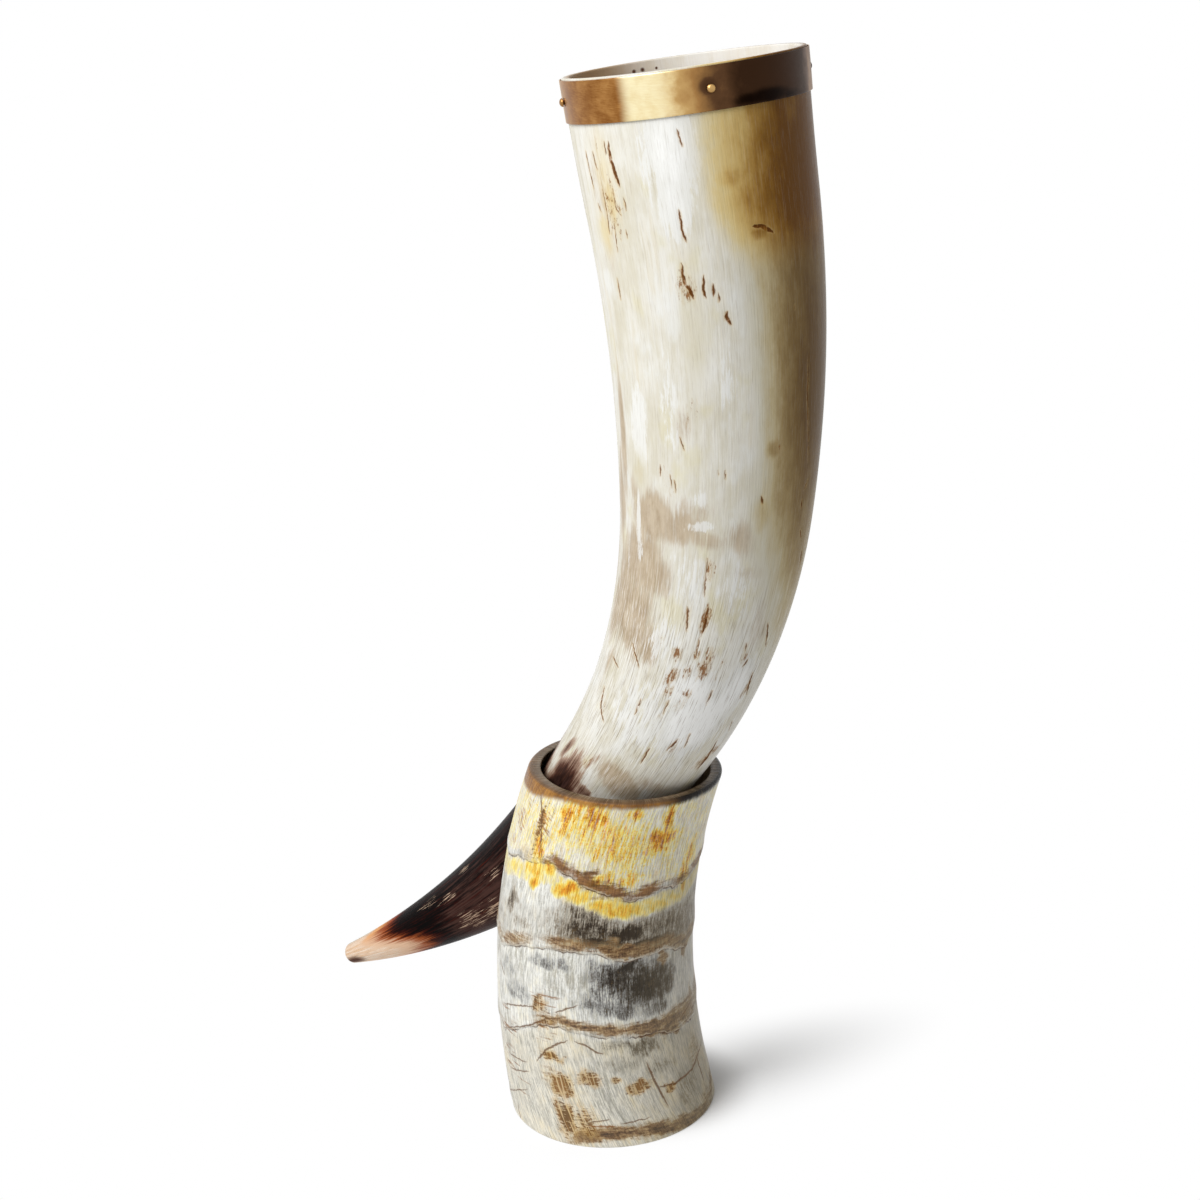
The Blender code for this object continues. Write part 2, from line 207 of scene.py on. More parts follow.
class Unrolled:
    """A round surface laid flat: its visible points by pixel, and distances in metres along and round it."""

    def __init__(self, points, outward, around, along, radius):
        seen = facing_camera(points, outward)
        self.pixels = photo_pixels(points[seen])
        self.around = around[seen]
        self.along = along[seen]
        self.radius = radius

    def spot(self, pixel):
        """Angle and length of the visible point nearest to a pixel."""
        nearest = np.argmin(np.sum((self.pixels - pixel) ** 2, axis=1))
        return self.around[nearest], self.along[nearest]

    def lines_at(self, listed):
        """Lines given by pixels, as lines given by angles and lengths."""
        return [(half_width, [self.spot(pixel) for pixel in pixels]) for half_width, *pixels in listed]

    def patches_at(self, listed):
        """Patches given by pixel, half width and half length in mm, strength and perhaps a lean in degrees,
        as the same patches given by angle and length."""
        return [(self.spot(patch[:2]), *patch[2:]) for patch in listed]

    def flat(self, around, along, place):
        """How far each point lies from a place, round and along the surface."""
        turn = (around - place[0] + math.pi) % (2 * math.pi) - math.pi
        return turn * self.radius(np.full_like(along, place[1])), along - place[1]

    def clouds(self, around, along, patches, corner=2.0):
        """The strongest of several patches, each exp(-d cubed), where d is the distance from its middle in
        half sizes: the root of the summed corner powers, so 2 makes an oval and 8 nearly a rectangle."""
        strongest = np.zeros(np.shape(around))
        for place, half_width, half_length, strength, *leans in patches:
            across, up = self.flat(around, along, place)
            lean = math.radians(sum(leans))
            side = np.abs(across * math.cos(lean) - up * math.sin(lean)) / (half_width * MM)
            rise = np.abs(across * math.sin(lean) + up * math.cos(lean)) / (half_length * MM)
            distance = np.minimum(side ** corner + rise ** corner, FARTHEST) ** (1.0 / corner)
            strongest = np.maximum(strongest, strength * np.exp(-distance ** 3))
        return strongest

    def strokes(self, around, along, lines):
        """For each point, in mm: its signed distance across the nearest line, and that line's half width
        there. The width tapers as 1 - t^4 and goes below zero past the ends and far from the line."""
        nearest = np.full(np.shape(around), 1.0)
        side = np.full(np.shape(around), FAR)
        room = np.full(np.shape(around), -FAR)
        for half_width, places in lines:
            for number, (start, end) in enumerate(zip(places, places[1:])):
                across, up = self.flat(around, along, start)
                ahead = self.flat(np.array(end[0]), np.array(end[1]), start)
                length = math.hypot(*ahead) + 1e-9
                share = (across * ahead[0] + up * ahead[1]) / length ** 2
                inside = np.clip(share, 0.0, 1.0)
                gap = np.hypot(across - inside * ahead[0], up - inside * ahead[1])
                position = (number + inside) / (len(places) - 1)
                width = half_width * (1.0 - (2.0 * position - 1.0) ** 4)
                width = width - np.abs(share - inside) * length / MM - np.maximum(gap / MM - LINE_REACH, 0.0)
                closer = gap < nearest
                side = np.where(closer, (across * ahead[1] - up * ahead[0]) / length / MM, side)
                room = np.where(closer, width, room)
                nearest = np.minimum(nearest, gap)
        return np.stack((np.clip(side, -FAR, FAR), np.maximum(room, -FAR), nearest / MM), axis=-1)


# %% [markdown]
# Grown things are never even, so some helpers give soft edges and seeded randomness. A seed makes the same
# waves, lines and patches on every run.

# %% Soft edges and seeded marks
def smooth_step(value, low, high):
    """0 below low, 1 above high and a smooth S between: 3t^2 - 2t^3."""
    share = np.clip((value - low) / (high - low), 0.0, 1.0)
    return share * share * (3.0 - 2.0 * share)


MOST_TURNS = 7
LINE_DRIFT = 0.02


def soft_waves(around, along, seed, scale, count=24):
    """Even waviness round a surface: a sum of sines with whole turns round it and seeded phases."""
    chance = np.random.default_rng(seed)
    total = np.zeros(np.shape(around))
    turns = chance.integers(-MOST_TURNS, MOST_TURNS + 1, count)
    pitches = chance.normal(0.0, 1.0 / scale, count)
    phases = chance.uniform(0, 6.28, count)
    for turn, pitch, phase in zip(turns, pitches, phases):
        total += np.sin(turn * around + pitch * along + phase)
    return total / math.sqrt(count)


def scattered_lines(seed, count, turns, lengths, reach, half_widths):
    """Seeded short lines along the grain, between two angles in degrees and two lengths in mm."""
    chance = np.random.default_rng(seed)
    turn = np.radians(chance.uniform(*turns, count))
    start = chance.uniform(*lengths, count) * MM
    end = start + chance.uniform(*reach, count) * MM
    drift = turn + chance.normal(0.0, LINE_DRIFT, count)
    return [
        (width, [(a, s), (b, e)])
        for width, a, s, b, e in zip(chance.uniform(*half_widths, count), turn, start, drift, end)]


def scattered_patches(seed, count, turns, lengths, half_widths, half_lengths, strengths):
    """Seeded patches between two angles in degrees and two lengths in mm."""
    chance = np.random.default_rng(seed)
    turn = np.radians(chance.uniform(*turns, count))
    along = chance.uniform(*lengths, count) * MM
    sizes = [chance.uniform(*limits, count) for limits in (half_widths, half_lengths, strengths)]
    return [(place, *size) for place, *size in zip(zip(turn, along), *sizes)]


# %% [markdown]
# The drinking horn is one closed skin: from the tip up the outside, over the lip and down the hollow to
# its round bottom. A profile of lengths and radii is carried along the axis. Modelling it as a tube with
# a Solidify modifier would give an even wall, but a real horn's wall thickens towards the tip.

# %% Horn formulas
def horn_axis(length):
    """Place x, z and heading at a length from the tip: over the arcs, then straight on."""
    x = np.zeros_like(length)
    z = np.zeros_like(length)
    heading = np.full_like(length, TIP_HEADING)
    for arc, bend in HORN_ARCS:
        step = np.minimum(length, arc)
        chord = 2.0 * bend * np.sin(step / bend / 2.0)
        x = x + chord * np.cos(heading + step / bend / 2.0)
        z = z + chord * np.sin(heading + step / bend / 2.0)
        heading = heading + step / bend
        length = length - step
    return x + length * np.cos(heading), z + length * np.sin(heading), heading


def horn_radius(length):
    """Outer radius: the parabola through the radii at the tip, the middle and the mouth."""
    share = length / HORN_LENGTH
    slope = 4.0 * MIDDLE_RADIUS - 3.0 * TIP_RADIUS - MOUTH_RADIUS
    bend = 2.0 * (TIP_RADIUS + MOUTH_RADIUS - 2.0 * MIDDLE_RADIUS)
    return TIP_RADIUS + slope * share + bend * share ** 2


def hollow_radius(length):
    """Radius of the hollow: the horn's less a wall that thins evenly towards the mouth."""
    share = (HORN_LENGTH - length) / HOLLOW_LENGTH
    return horn_radius(length) - WALL_AT_MOUTH - (WALL_AT_BOTTOM - WALL_AT_MOUTH) * share


def horn_frame(length):
    """Axis point and the two directions across it: away from the bend's centre, and along Y."""
    x, z, heading = horn_axis(length)
    seat = horn_axis(np.array([SEAT_LENGTH]))
    x = x - seat[0] + seat_x + FOOT_X
    z = z - seat[1] + STAND_HEIGHT
    zero = np.zeros_like(x)
    middle = np.stack((x, zero, z), axis=-1)
    outer = np.stack((np.sin(heading), zero, -np.cos(heading)), axis=-1)
    return middle, outer


def horn_points(length, radius, around):
    """Points at a length, radius and angle: the axis point plus the radius turned round it."""
    middle, outer = horn_frame(length)
    side = np.array((0.0, 1.0, 0.0))
    outward = np.cos(around)[..., None] * outer + np.sin(around)[..., None] * side
    return middle + radius[..., None] * outward, outward


print("heading at the mouth:", np.degrees(horn_axis(np.array([HORN_LENGTH]))[2]).round(1))

# %% Horn profile
HORN_ROWS = 285
HORN_COLUMNS = 288
HOLLOW_ROWS = 36
ROUND_ROWS = 7
SKIN_INSET = 0.1 * MM

quarter = np.linspace(0.0, math.pi / 2, ROUND_ROWS)
hollow_bottom = HORN_LENGTH - HOLLOW_LENGTH
lip_outer = horn_radius(HORN_LENGTH) - LIP_ROUND
lip_inner = hollow_radius(HORN_LENGTH) + LIP_ROUND
tip_lengths = TIP_ROUND * (1.0 - np.cos(quarter[1:-1]))
side_lengths = np.linspace(TIP_ROUND, HORN_LENGTH - LIP_ROUND, HORN_ROWS)
lip_lengths = HORN_LENGTH - LIP_ROUND * (1.0 - np.sin(quarter[1:]))
hollow_lengths = np.linspace(HORN_LENGTH - LIP_ROUND, hollow_bottom + HOLLOW_ROUND, HOLLOW_ROWS)
bottom_lengths = hollow_bottom + HOLLOW_ROUND * (1.0 - np.sin(quarter[1:-1]))

profile_lengths = np.concatenate((
    tip_lengths, side_lengths, lip_lengths, lip_lengths[::-1], hollow_lengths, bottom_lengths))
profile_radii = np.concatenate((
    horn_radius(TIP_ROUND) * np.sin(quarter[1:-1]),
    horn_radius(side_lengths),
    lip_outer + LIP_ROUND * np.cos(quarter[1:]),
    lip_inner - LIP_ROUND * np.cos(quarter[:0:-1]),
    hollow_radius(hollow_lengths),
    hollow_radius(hollow_bottom + HOLLOW_ROUND) * np.cos(quarter[1:-1]),
))
outer_rows = len(tip_lengths) + len(side_lengths) + len(lip_lengths)
print(len(profile_lengths), "rows of", HORN_COLUMNS, "points")

# %% Horn grid, and the photograph laid on it
horn_turns = ring_turns(HORN_COLUMNS)
along, around = np.meshgrid(profile_lengths, horn_turns, indexing="ij")
radii = np.repeat(profile_radii[:, None], HORN_COLUMNS, axis=1)
outside = np.zeros_like(along)
outside[:outer_rows] = 1.0
horn_base, horn_outward = horn_points(along, radii, around)
on_outside = outside > 0.5
horn_skin = Unrolled(
    horn_base[on_outside], horn_outward[on_outside], around[on_outside], along[on_outside], horn_radius)
print("the point at pixel (690, 110) is", round(horn_skin.spot((690, 110))[1] / MM, 1), "mm from the tip")

# %% [markdown]
# Horn is made of long fibres, and age leaves slits where fibres have split, pits where they have broken
# out, and patches of tan, amber and nearly black. Each list below places such marks by pixel: a slit is a
# half width in millimetres and the pixels it runs through, and a patch is a pixel, a half width, a half
# length, a strength and perhaps a lean in degrees. The back can't be seen, so it gets seeded marks of the
# same kinds. A slit is stored as a signed distance across it, because that stays exact between the points
# of the mesh and gives a line thinner than a face.

# %% Slits and pits on the horn
HORN_SLITS = (
    (0.7, (608, 142), (611, 160), (614, 172), (620, 186)), (0.26, (603, 143), (605, 154)),
    (0.3, (677, 130), (682, 145)), (0.42, (679, 209), (681, 229), (687, 243)),
    (0.24, (585, 149), (588, 164), (594, 187)), (0.2, (597, 204), (601, 214)),
    (0.62, (681, 265), (683, 281), (690, 292), (693, 299)), (0.48, (703, 273), (703, 288), (706, 301)),
    (0.42, (712, 286), (713, 300)), (0.28, (719, 295), (720, 302)),
    (0.7, (728, 309), (725, 318), (731, 325)), (0.18, (617, 280), (620, 300)),
    (0.75, (753, 229), (763, 228), (774, 231)), (0.3, (795, 303), (796, 311)),
    (0.22, (808, 355), (809, 400), (809, 462)), (0.22, (808, 479), (805, 492)),
    (0.34, (761, 498), (763, 503)), (0.34, (803, 500), (801, 508)), (0.26, (801, 532), (801, 537)),
    (0.34, (801, 550), (800, 563)), (0.18, (679, 436), (685, 451)), (0.18, (659, 464), (660, 476)),
    (0.18, (670, 477), (671, 490)), (0.16, (674, 480), (675, 492)), (0.16, (718, 469), (718, 475)),
    (0.16, (725, 469), (724, 478)), (0.45, (708, 607), (706, 622), (702, 636)),
    (0.22, (688, 606), (687, 631)), (0.3, (768, 625), (766, 646)), (0.26, (747, 645), (746, 652)),
    (0.28, (749, 659), (742, 666)), (0.34, (753, 673), (750, 685), (747, 696)),
    (0.34, (603, 686), (601, 704), (603, 722)), (0.2, (632, 643), (640, 668)),
    (0.2, (613, 656), (617, 668)), (0.34, (678, 741), (667, 752)), (0.28, (649, 750), (640, 763)),
    (0.4, (718, 740), (708, 756), (697, 771)), (0.22, (733, 722), (729, 731)),
    (0.22, (612, 190), (616, 206), (620, 218)), (0.18, (625, 228), (627, 240)),
    (0.18, (606, 214), (609, 233)), (0.2, (592, 150), (596, 172)), (0.18, (602, 188), (606, 212)),
    (0.16, (614, 232), (617, 252)), (0.18, (622, 196), (625, 212)), (0.16, (706, 560), (704, 598)),
    (0.16, (698, 640), (695, 660)), (0.18, (712, 690), (706, 704)), (0.16, (668, 700), (663, 714)),
    (0.2, (690, 735), (684, 748)), (0.18, (640, 700), (634, 716)),
)
HORN_PITTED = (
    (612, 208, 5, 15, 0.7), (600, 150, 4, 8, 0.5), (688, 287, 4, 8, 0.8), (710, 573, 2.5, 5, 0.8),
    (705, 621, 2.4, 7, 1, 6), (688, 617, 1.5, 6, 0.6), (676, 655, 3, 3.5, 0.9), (672, 676, 2.6, 6, 1, 20),
    (668, 691, 2, 4, 0.9, 20), (687, 674, 2, 4.5, 0.9, 10), (704, 670, 3.4, 6, 1),
    (711, 655, 2.5, 4, 0.85, 10), (697, 654, 2, 2.5, 0.8), (687, 694, 2.5, 3, 0.8),
    (714, 680, 1.5, 3, 0.7), (722, 662, 1.5, 3, 0.7), (745, 655, 2, 4, 0.8), (747, 690, 2, 5, 0.9, 15),
    (660, 640, 2, 4, 0.6), (661, 717, 2, 3, 0.6), (681, 706, 2.5, 6, 0.6, 20), (673, 750, 3, 4, 0.7, 30),
    (707, 757, 3, 9, 0.9, 35), (778, 450, 3, 6, 0.6), (692, 415, 4, 10, 0.45), (668, 485, 5, 10, 0.45),
    (588, 760, 2.5, 7, 0.6, 15), (603, 706, 2, 7, 0.6),
)
SLIT_LAYERS = ("slit_1", "slit_2", "slit_3")


def horn_clouds(listed, seeded=()):
    """How strongly each point of the horn lies in patches listed by pixel or in seeded ones."""
    return horn_skin.clouds(around, along, [*horn_skin.patches_at(listed), *seeded])


slit_lines = horn_skin.lines_at(HORN_SLITS)
slit_lines += scattered_lines(7, 36, (45, 200), (215, 435), (3, 9), (0.18, 0.42))
back_pits = scattered_patches(8, 14, (50, 195), (210, 430), (2, 5), (4, 11), (0.5, 1.0))
slits = {
    name: horn_skin.strokes(around, along, slit_lines[number::len(SLIT_LAYERS)])
    for number, name in enumerate(SLIT_LAYERS)}
pitted = horn_clouds(HORN_PITTED, back_pits)
slit_gap = np.min([layer[..., 2] for layer in slits.values()], axis=0)
print(len(slit_lines), "slits and", len(HORN_PITTED) + len(back_pits), "pitted patches")

# %% Amber on the horn
# Each row: the height in the photograph, where amber starts and is full across it, and how strong it is.
# Lower on the horn, where it turns olive, this amber is partly painted shade on the right side.
AMBER_ROWS = (
    (112, 666, 786, 0.92), (140, 668, 788, 0.95), (175, 676, 788, 0.98), (205, 684, 788, 0.98),
    (235, 698, 798, 0.92), (262, 712, 808, 0.86), (300, 720, 812, 0.9), (345, 724, 812, 0.92),
    (400, 736, 808, 0.95), (450, 738, 808, 0.93), (500, 728, 806, 0.82), (545, 724, 800, 0.64),
    (590, 740, 796, 0.54), (650, 740, 776, 0.3), (705, 724, 752, 0.04),
)
HORN_AMBER = (
    (736, 178, 8, 6, 0.6), (762, 233, 6, 4, 0.78), (776, 450, 5, 5, 0.6), (612, 206, 4, 13, 0.17),
    (606, 236, 5, 12, 0.15), (640, 470, 5, 9, 0.26), (604, 180, 7, 22, 0.12), (694, 325, 6, 24, 0.2),
    (764, 512, 6, 9, 0.44),
)
AMBER_END = (math.radians(60.0), math.radians(120.0))
BACK_TURN = math.radians(120.0)
GILDED_FROM = ((760, 280), (760, 225))
WORN_UP_TO = ((700, 660), (700, 540))


def amber_rows(around, along):
    """An S curve between two angles which, like its strength, run straight from row to row."""
    rows = []
    for y, starts, full, strength in AMBER_ROWS:
        first, second = horn_skin.spot((starts, y)), horn_skin.spot((full, y))
        rows.append(((first[1] + second[1]) / 2, first[0], second[0], strength))
    lengths, starts, full, strength = np.array(sorted(rows)).T
    ramp = smooth_step(around, np.interp(along, lengths, starts), np.interp(along, lengths, full))
    fade = 1.0 - smooth_step(around, *AMBER_END)
    return ramp * fade * np.interp(along, lengths, strength)


at_back = smooth_step(np.cos(around - BACK_TURN), 0.0, 0.5)
back_amber = np.clip(0.14 + 0.22 * soft_waves(around, 0.15 * along, 9, 0.01), 0.0, 0.6)
amber = np.maximum(amber_rows(around, along), horn_clouds(HORN_AMBER))
amber = np.maximum(amber, at_back * back_amber)
gilded = smooth_step(along, *(horn_skin.spot(pixel)[1] for pixel in GILDED_FROM)) * (1.0 - 0.7 * at_back)
worn = 1.0 - smooth_step(along, *(horn_skin.spot(pixel)[1] for pixel in WORN_UP_TO))
print("amber over", round(float((amber > 0.3)[on_outside].mean()), 2), "of the outside")

# %% Tan and white patches on the horn
HORN_TAN = (
    (652, 515, 12, 11, 0.95), (672, 528, 14, 8, 0.8, -10), (705, 540, 10, 4, 0.6, 10),
    (640, 560, 12, 17, 0.95), (655, 575, 8, 10, 0.8), (632, 615, 10, 17, 1, 10),
    (648, 650, 6, 8, 0.8, 20), (622, 500, 5, 22, 0.75), (748, 535, 9, 7, 0.7), (684, 425, 4, 8, 0.55),
    (622, 440, 3, 30, 0.8), (636, 485, 4, 8, 0.7), (618, 782, 12, 7, 1, 20), (652, 786, 9, 4, 0.6, 10),
    (772, 612, 8, 16, 0.6, 14), (755, 572, 14, 3, 0.45), (610, 660, 4, 10, 0.5, 20),
    (616, 560, 4, 22, 0.7), (616, 605, 6, 20, 0.85, 5), (626, 580, 8, 22, 0.9),
    (640, 640, 8, 12, 0.85, 15), (690, 512, 12, 7, 0.5), (603, 205, 6, 24, 0.45), (610, 250, 5, 10, 0.4),
)
# White patches: the horn's own pale islands, a painted highlight along the left near (638, 430), and painted
# light low on the front near (694, 724), (732, 695) and (692, 690).
HORN_WHITE = (
    (700, 502, 4, 4, 0.8), (703, 527, 6, 2.5, 1, -10), (690, 580, 9, 13, 0.66), (680, 556, 10, 3, 0.6),
    (638, 430, 5, 22, 1), (668, 400, 5, 22, 0.7), (726, 385, 5, 16, 0.6), (665, 640, 8, 12, 0.8),
    (638, 520, 1.6, 18, 0.9), (640, 548, 2.5, 6, 0.8), (628, 553, 1.2, 10, 0.7), (735, 590, 10, 14, 0.6),
    (640, 720, 16, 18, 0.9), (694, 724, 14, 18, 1.5, 20), (732, 695, 9, 20, 1.3, 20),
    (692, 690, 14, 12, 1.3, 10), (668, 150, 12, 24, 1.2), (674, 200, 8, 16, 1.1),
)
BACK_TAN_END = (290.0 * MM, 370.0 * MM)

tan_below = 1.0 - smooth_step(along, *BACK_TAN_END)
back_tan = np.clip(0.25 + 0.45 * soft_waves(around, 0.5 * along, 10, 0.01), 0.0, 0.9)
back_white = np.clip(0.2 + 0.4 * soft_waves(2.0 * around, 0.4 * along, 12, 0.01), 0.0, 0.9)
tan = np.maximum(horn_clouds(HORN_TAN), at_back * tan_below * back_tan)
white = np.maximum(horn_clouds(HORN_WHITE), at_back * back_white)
print("tan over", round(float((tan > 0.4)[on_outside].mean()), 2), "of the outside")

# %% Dark end of the horn
TIP_EDGE = ((392, 916), (382, 928), (375, 941), (390, 943), (408, 939), (424, 939), (420, 950), (408, 957))
TIP_SOFT = 16.0
TIP_EDGE_BACK = ((60.0, 34.0), (120.0, 26.0))
TIP_BLEND = 18.0
RUSSET_BLEND = 5.0
RUSSET_TURN = math.radians(50.0)
TIP_TONGUES = 1.5 * MM
STAIN_TONGUES = 8.0 * MM
DARK_END = (150.0 * MM, 160.0 * MM)
STAIN_START = (135.0 * MM, 150.0 * MM)
STAIN_LENGTH = 180.0 * MM
STAIN_END = (-20.0 * MM, 12.0 * MM)
WARM_END = (30.0 * MM, 75.0 * MM)
WORN_DARK_START = (48.0 * MM, 84.0 * MM)
# Dark patches: stains near the stand, and under the tip, at (354, 961), painted shade.
HORN_STAINS = (
    (560, 770, 4.5, 9, 0.82, 15), (566, 783, 7, 4, 0.95, 15), (566, 748, 2, 9, 0.55, 15),
    (590, 763, 1.8, 7, 0.45, 15), (580, 789, 9, 3, 0.6, 10), (354, 961, 2.4, 7, 0.75),
)
TIP_FLECKS = (
    (488, 912, 5, 11, 1), (474, 922, 4, 10, 0.9), (446, 898, 1.6, 8, 1), (466, 916, 2.4, 7, 0.9),
    (490, 876, 2.5, 7, 0.8), (428, 903, 2, 10, 0.8), (464, 868, 1.4, 5, 0.9),
)

tip_nodes = [horn_skin.spot(pixel) for pixel in TIP_EDGE]
tip_nodes += [(math.radians(turn), length * MM) for turn, length in TIP_EDGE_BACK]
edge_turns, edge_lengths = np.array(sorted((turn % (2 * math.pi), length) for turn, length in tip_nodes)).T
tongues = soft_waves(around, along * 0.2, 3, 0.02)
pale_until = sum(
    share * np.interp(around + math.radians(turn), edge_turns, edge_lengths, period=2 * math.pi)
    for turn, share in ((-TIP_SOFT, 0.25), (0.0, 0.5), (TIP_SOFT, 0.25)))
russet = 0.5 + 0.5 * np.cos(around + RUSSET_TURN)
tip_blend = (TIP_BLEND + RUSSET_BLEND * russet) * MM
dark = smooth_step((along - pale_until - TIP_TONGUES * tongues) / tip_blend, -1.0, 1.0)
dark = dark * (1.0 - smooth_step(along, *DARK_END))
stained = smooth_step(along, *STAIN_START)
stained = stained * (1.0 - smooth_step(along - STAIN_LENGTH - STAIN_TONGUES * tongues, *STAIN_END))
stained = np.maximum(stained, horn_clouds(HORN_STAINS))
warm = 1.0 - smooth_step(along, *WARM_END)
worn_dark = russet * smooth_step(along, *WORN_DARK_START)
flecks = horn_clouds(TIP_FLECKS)
print("the tip is pale for", (edge_lengths / MM).round(0), "mm round it")

# %% Specks inside the mouth
MOUTH_SPOTS = ((634, 71.5), (643.5, 70), (656, 68))
MOUTH_DEPTH = 40.0 * MM
MOUTH_ROWS = 160
MOUTH_SPOT_SIZES = (0.85 * MM, 1.0 * MM, 0.55 * MM)

deep, turned = np.meshgrid(
    np.linspace(HORN_LENGTH - MOUTH_DEPTH, HORN_LENGTH - LIP_ROUND, MOUTH_ROWS), horn_turns, indexing="ij")
hollow_points, hollow_outward = horn_points(deep, hollow_radius(deep), turned)
hollow_skin = Unrolled(
    hollow_points.reshape(-1, 3), -hollow_outward.reshape(-1, 3), turned.ravel(), deep.ravel(), hollow_radius)
mouth_turns, mouth_lengths = np.array([hollow_skin.spot(pixel) for pixel in MOUTH_SPOTS]).T
mouth_spots, _ = horn_points(mouth_lengths, hollow_radius(mouth_lengths), mouth_turns)
print("specks below the lip in mm:", ((HORN_LENGTH - mouth_lengths) / MM).round(1))

# %% Horn mesh
SLIT_DEPTH = 0.18 * MM
SLIT_SLOPE = (0.2 * MM, 1.1 * MM)
UNEVENNESS = 0.12 * MM
PLAIN_TIP = 20.0 * MM
PLAIN_COLLAR = (19.0 * MM, 16.0 * MM)

relief = -SLIT_DEPTH * (1.0 - smooth_step(slit_gap * MM, *SLIT_SLOPE))
relief -= UNEVENNESS * (1.0 + soft_waves(around, along, 11, 0.02)) * 0.5
relief = relief * outside * smooth_step(along, 0.0, PLAIN_TIP)
relief = relief * (1.0 - smooth_step(along, *(HORN_LENGTH - below for below in PLAIN_COLLAR)))
horn_grid = horn_base + (relief - SKIN_INSET * outside)[..., None] * horn_outward

rows = len(profile_lengths)
poles, _ = horn_points(np.array([0.0, hollow_bottom]), np.zeros(2), np.zeros(2))
horn_vertices = np.concatenate((horn_grid.reshape(-1, 3), poles))
last = (rows - 1) * HORN_COLUMNS
column = np.arange(HORN_COLUMNS)
tip_fan = np.stack((np.full(HORN_COLUMNS, rows * HORN_COLUMNS), np.roll(column, -1), column), axis=1)
bottom_fan = np.stack(
    (np.full(HORN_COLUMNS, rows * HORN_COLUMNS + 1), last + column, last + np.roll(column, -1)), axis=1)
horn_faces = grid_faces(rows, HORN_COLUMNS) + tip_fan.tolist() + bottom_fan.tolist()
horn = new_piece("horn_cup", horn_vertices, horn_faces)
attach(horn, "horn")
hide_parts("drinking_horn")
print("horn:", len(horn_faces), "faces")

# %% Values for the horn's finish
GRAIN_RADIUS = 40.0 * MM
# Painted shade on one side of the hollow's inside.
SMOKED_TURN = 2.7


def with_poles(values):
    """A grid's values as one row, with the mean of the first and last grid rows for the two poles."""
    poles = values[:1].mean(axis=1), values[-1:].mean(axis=1)
    return np.concatenate((values.reshape(-1, *values.shape[2:]), *poles))


horn_values = {
    "grain": np.stack((GRAIN_RADIUS * np.cos(around), GRAIN_RADIUS * np.sin(around), along), axis=-1),
    "outside": outside, "pitted": pitted, "amber": amber, "gilded": gilded, "tan": tan, "white": white,
    "worn": worn, "dark": dark, "stained": stained, "warm": warm, "flecks": flecks, "russet": russet,
    "worn_dark": worn_dark, "smoked": smooth_step(np.cos(around + SMOKED_TURN), 0.1, 0.95),
    **slits,
}
hang_values(horn, **{name: with_poles(value) for name, value in horn_values.items()})
print("values on the horn:", sorted(horn_values))


# %% [markdown]
# A finish is a tree of shader nodes. Written as node calls it soon becomes unreadable, so one small class
# wraps a socket: plus, minus and times on it add Math nodes, and one method adds any other node.

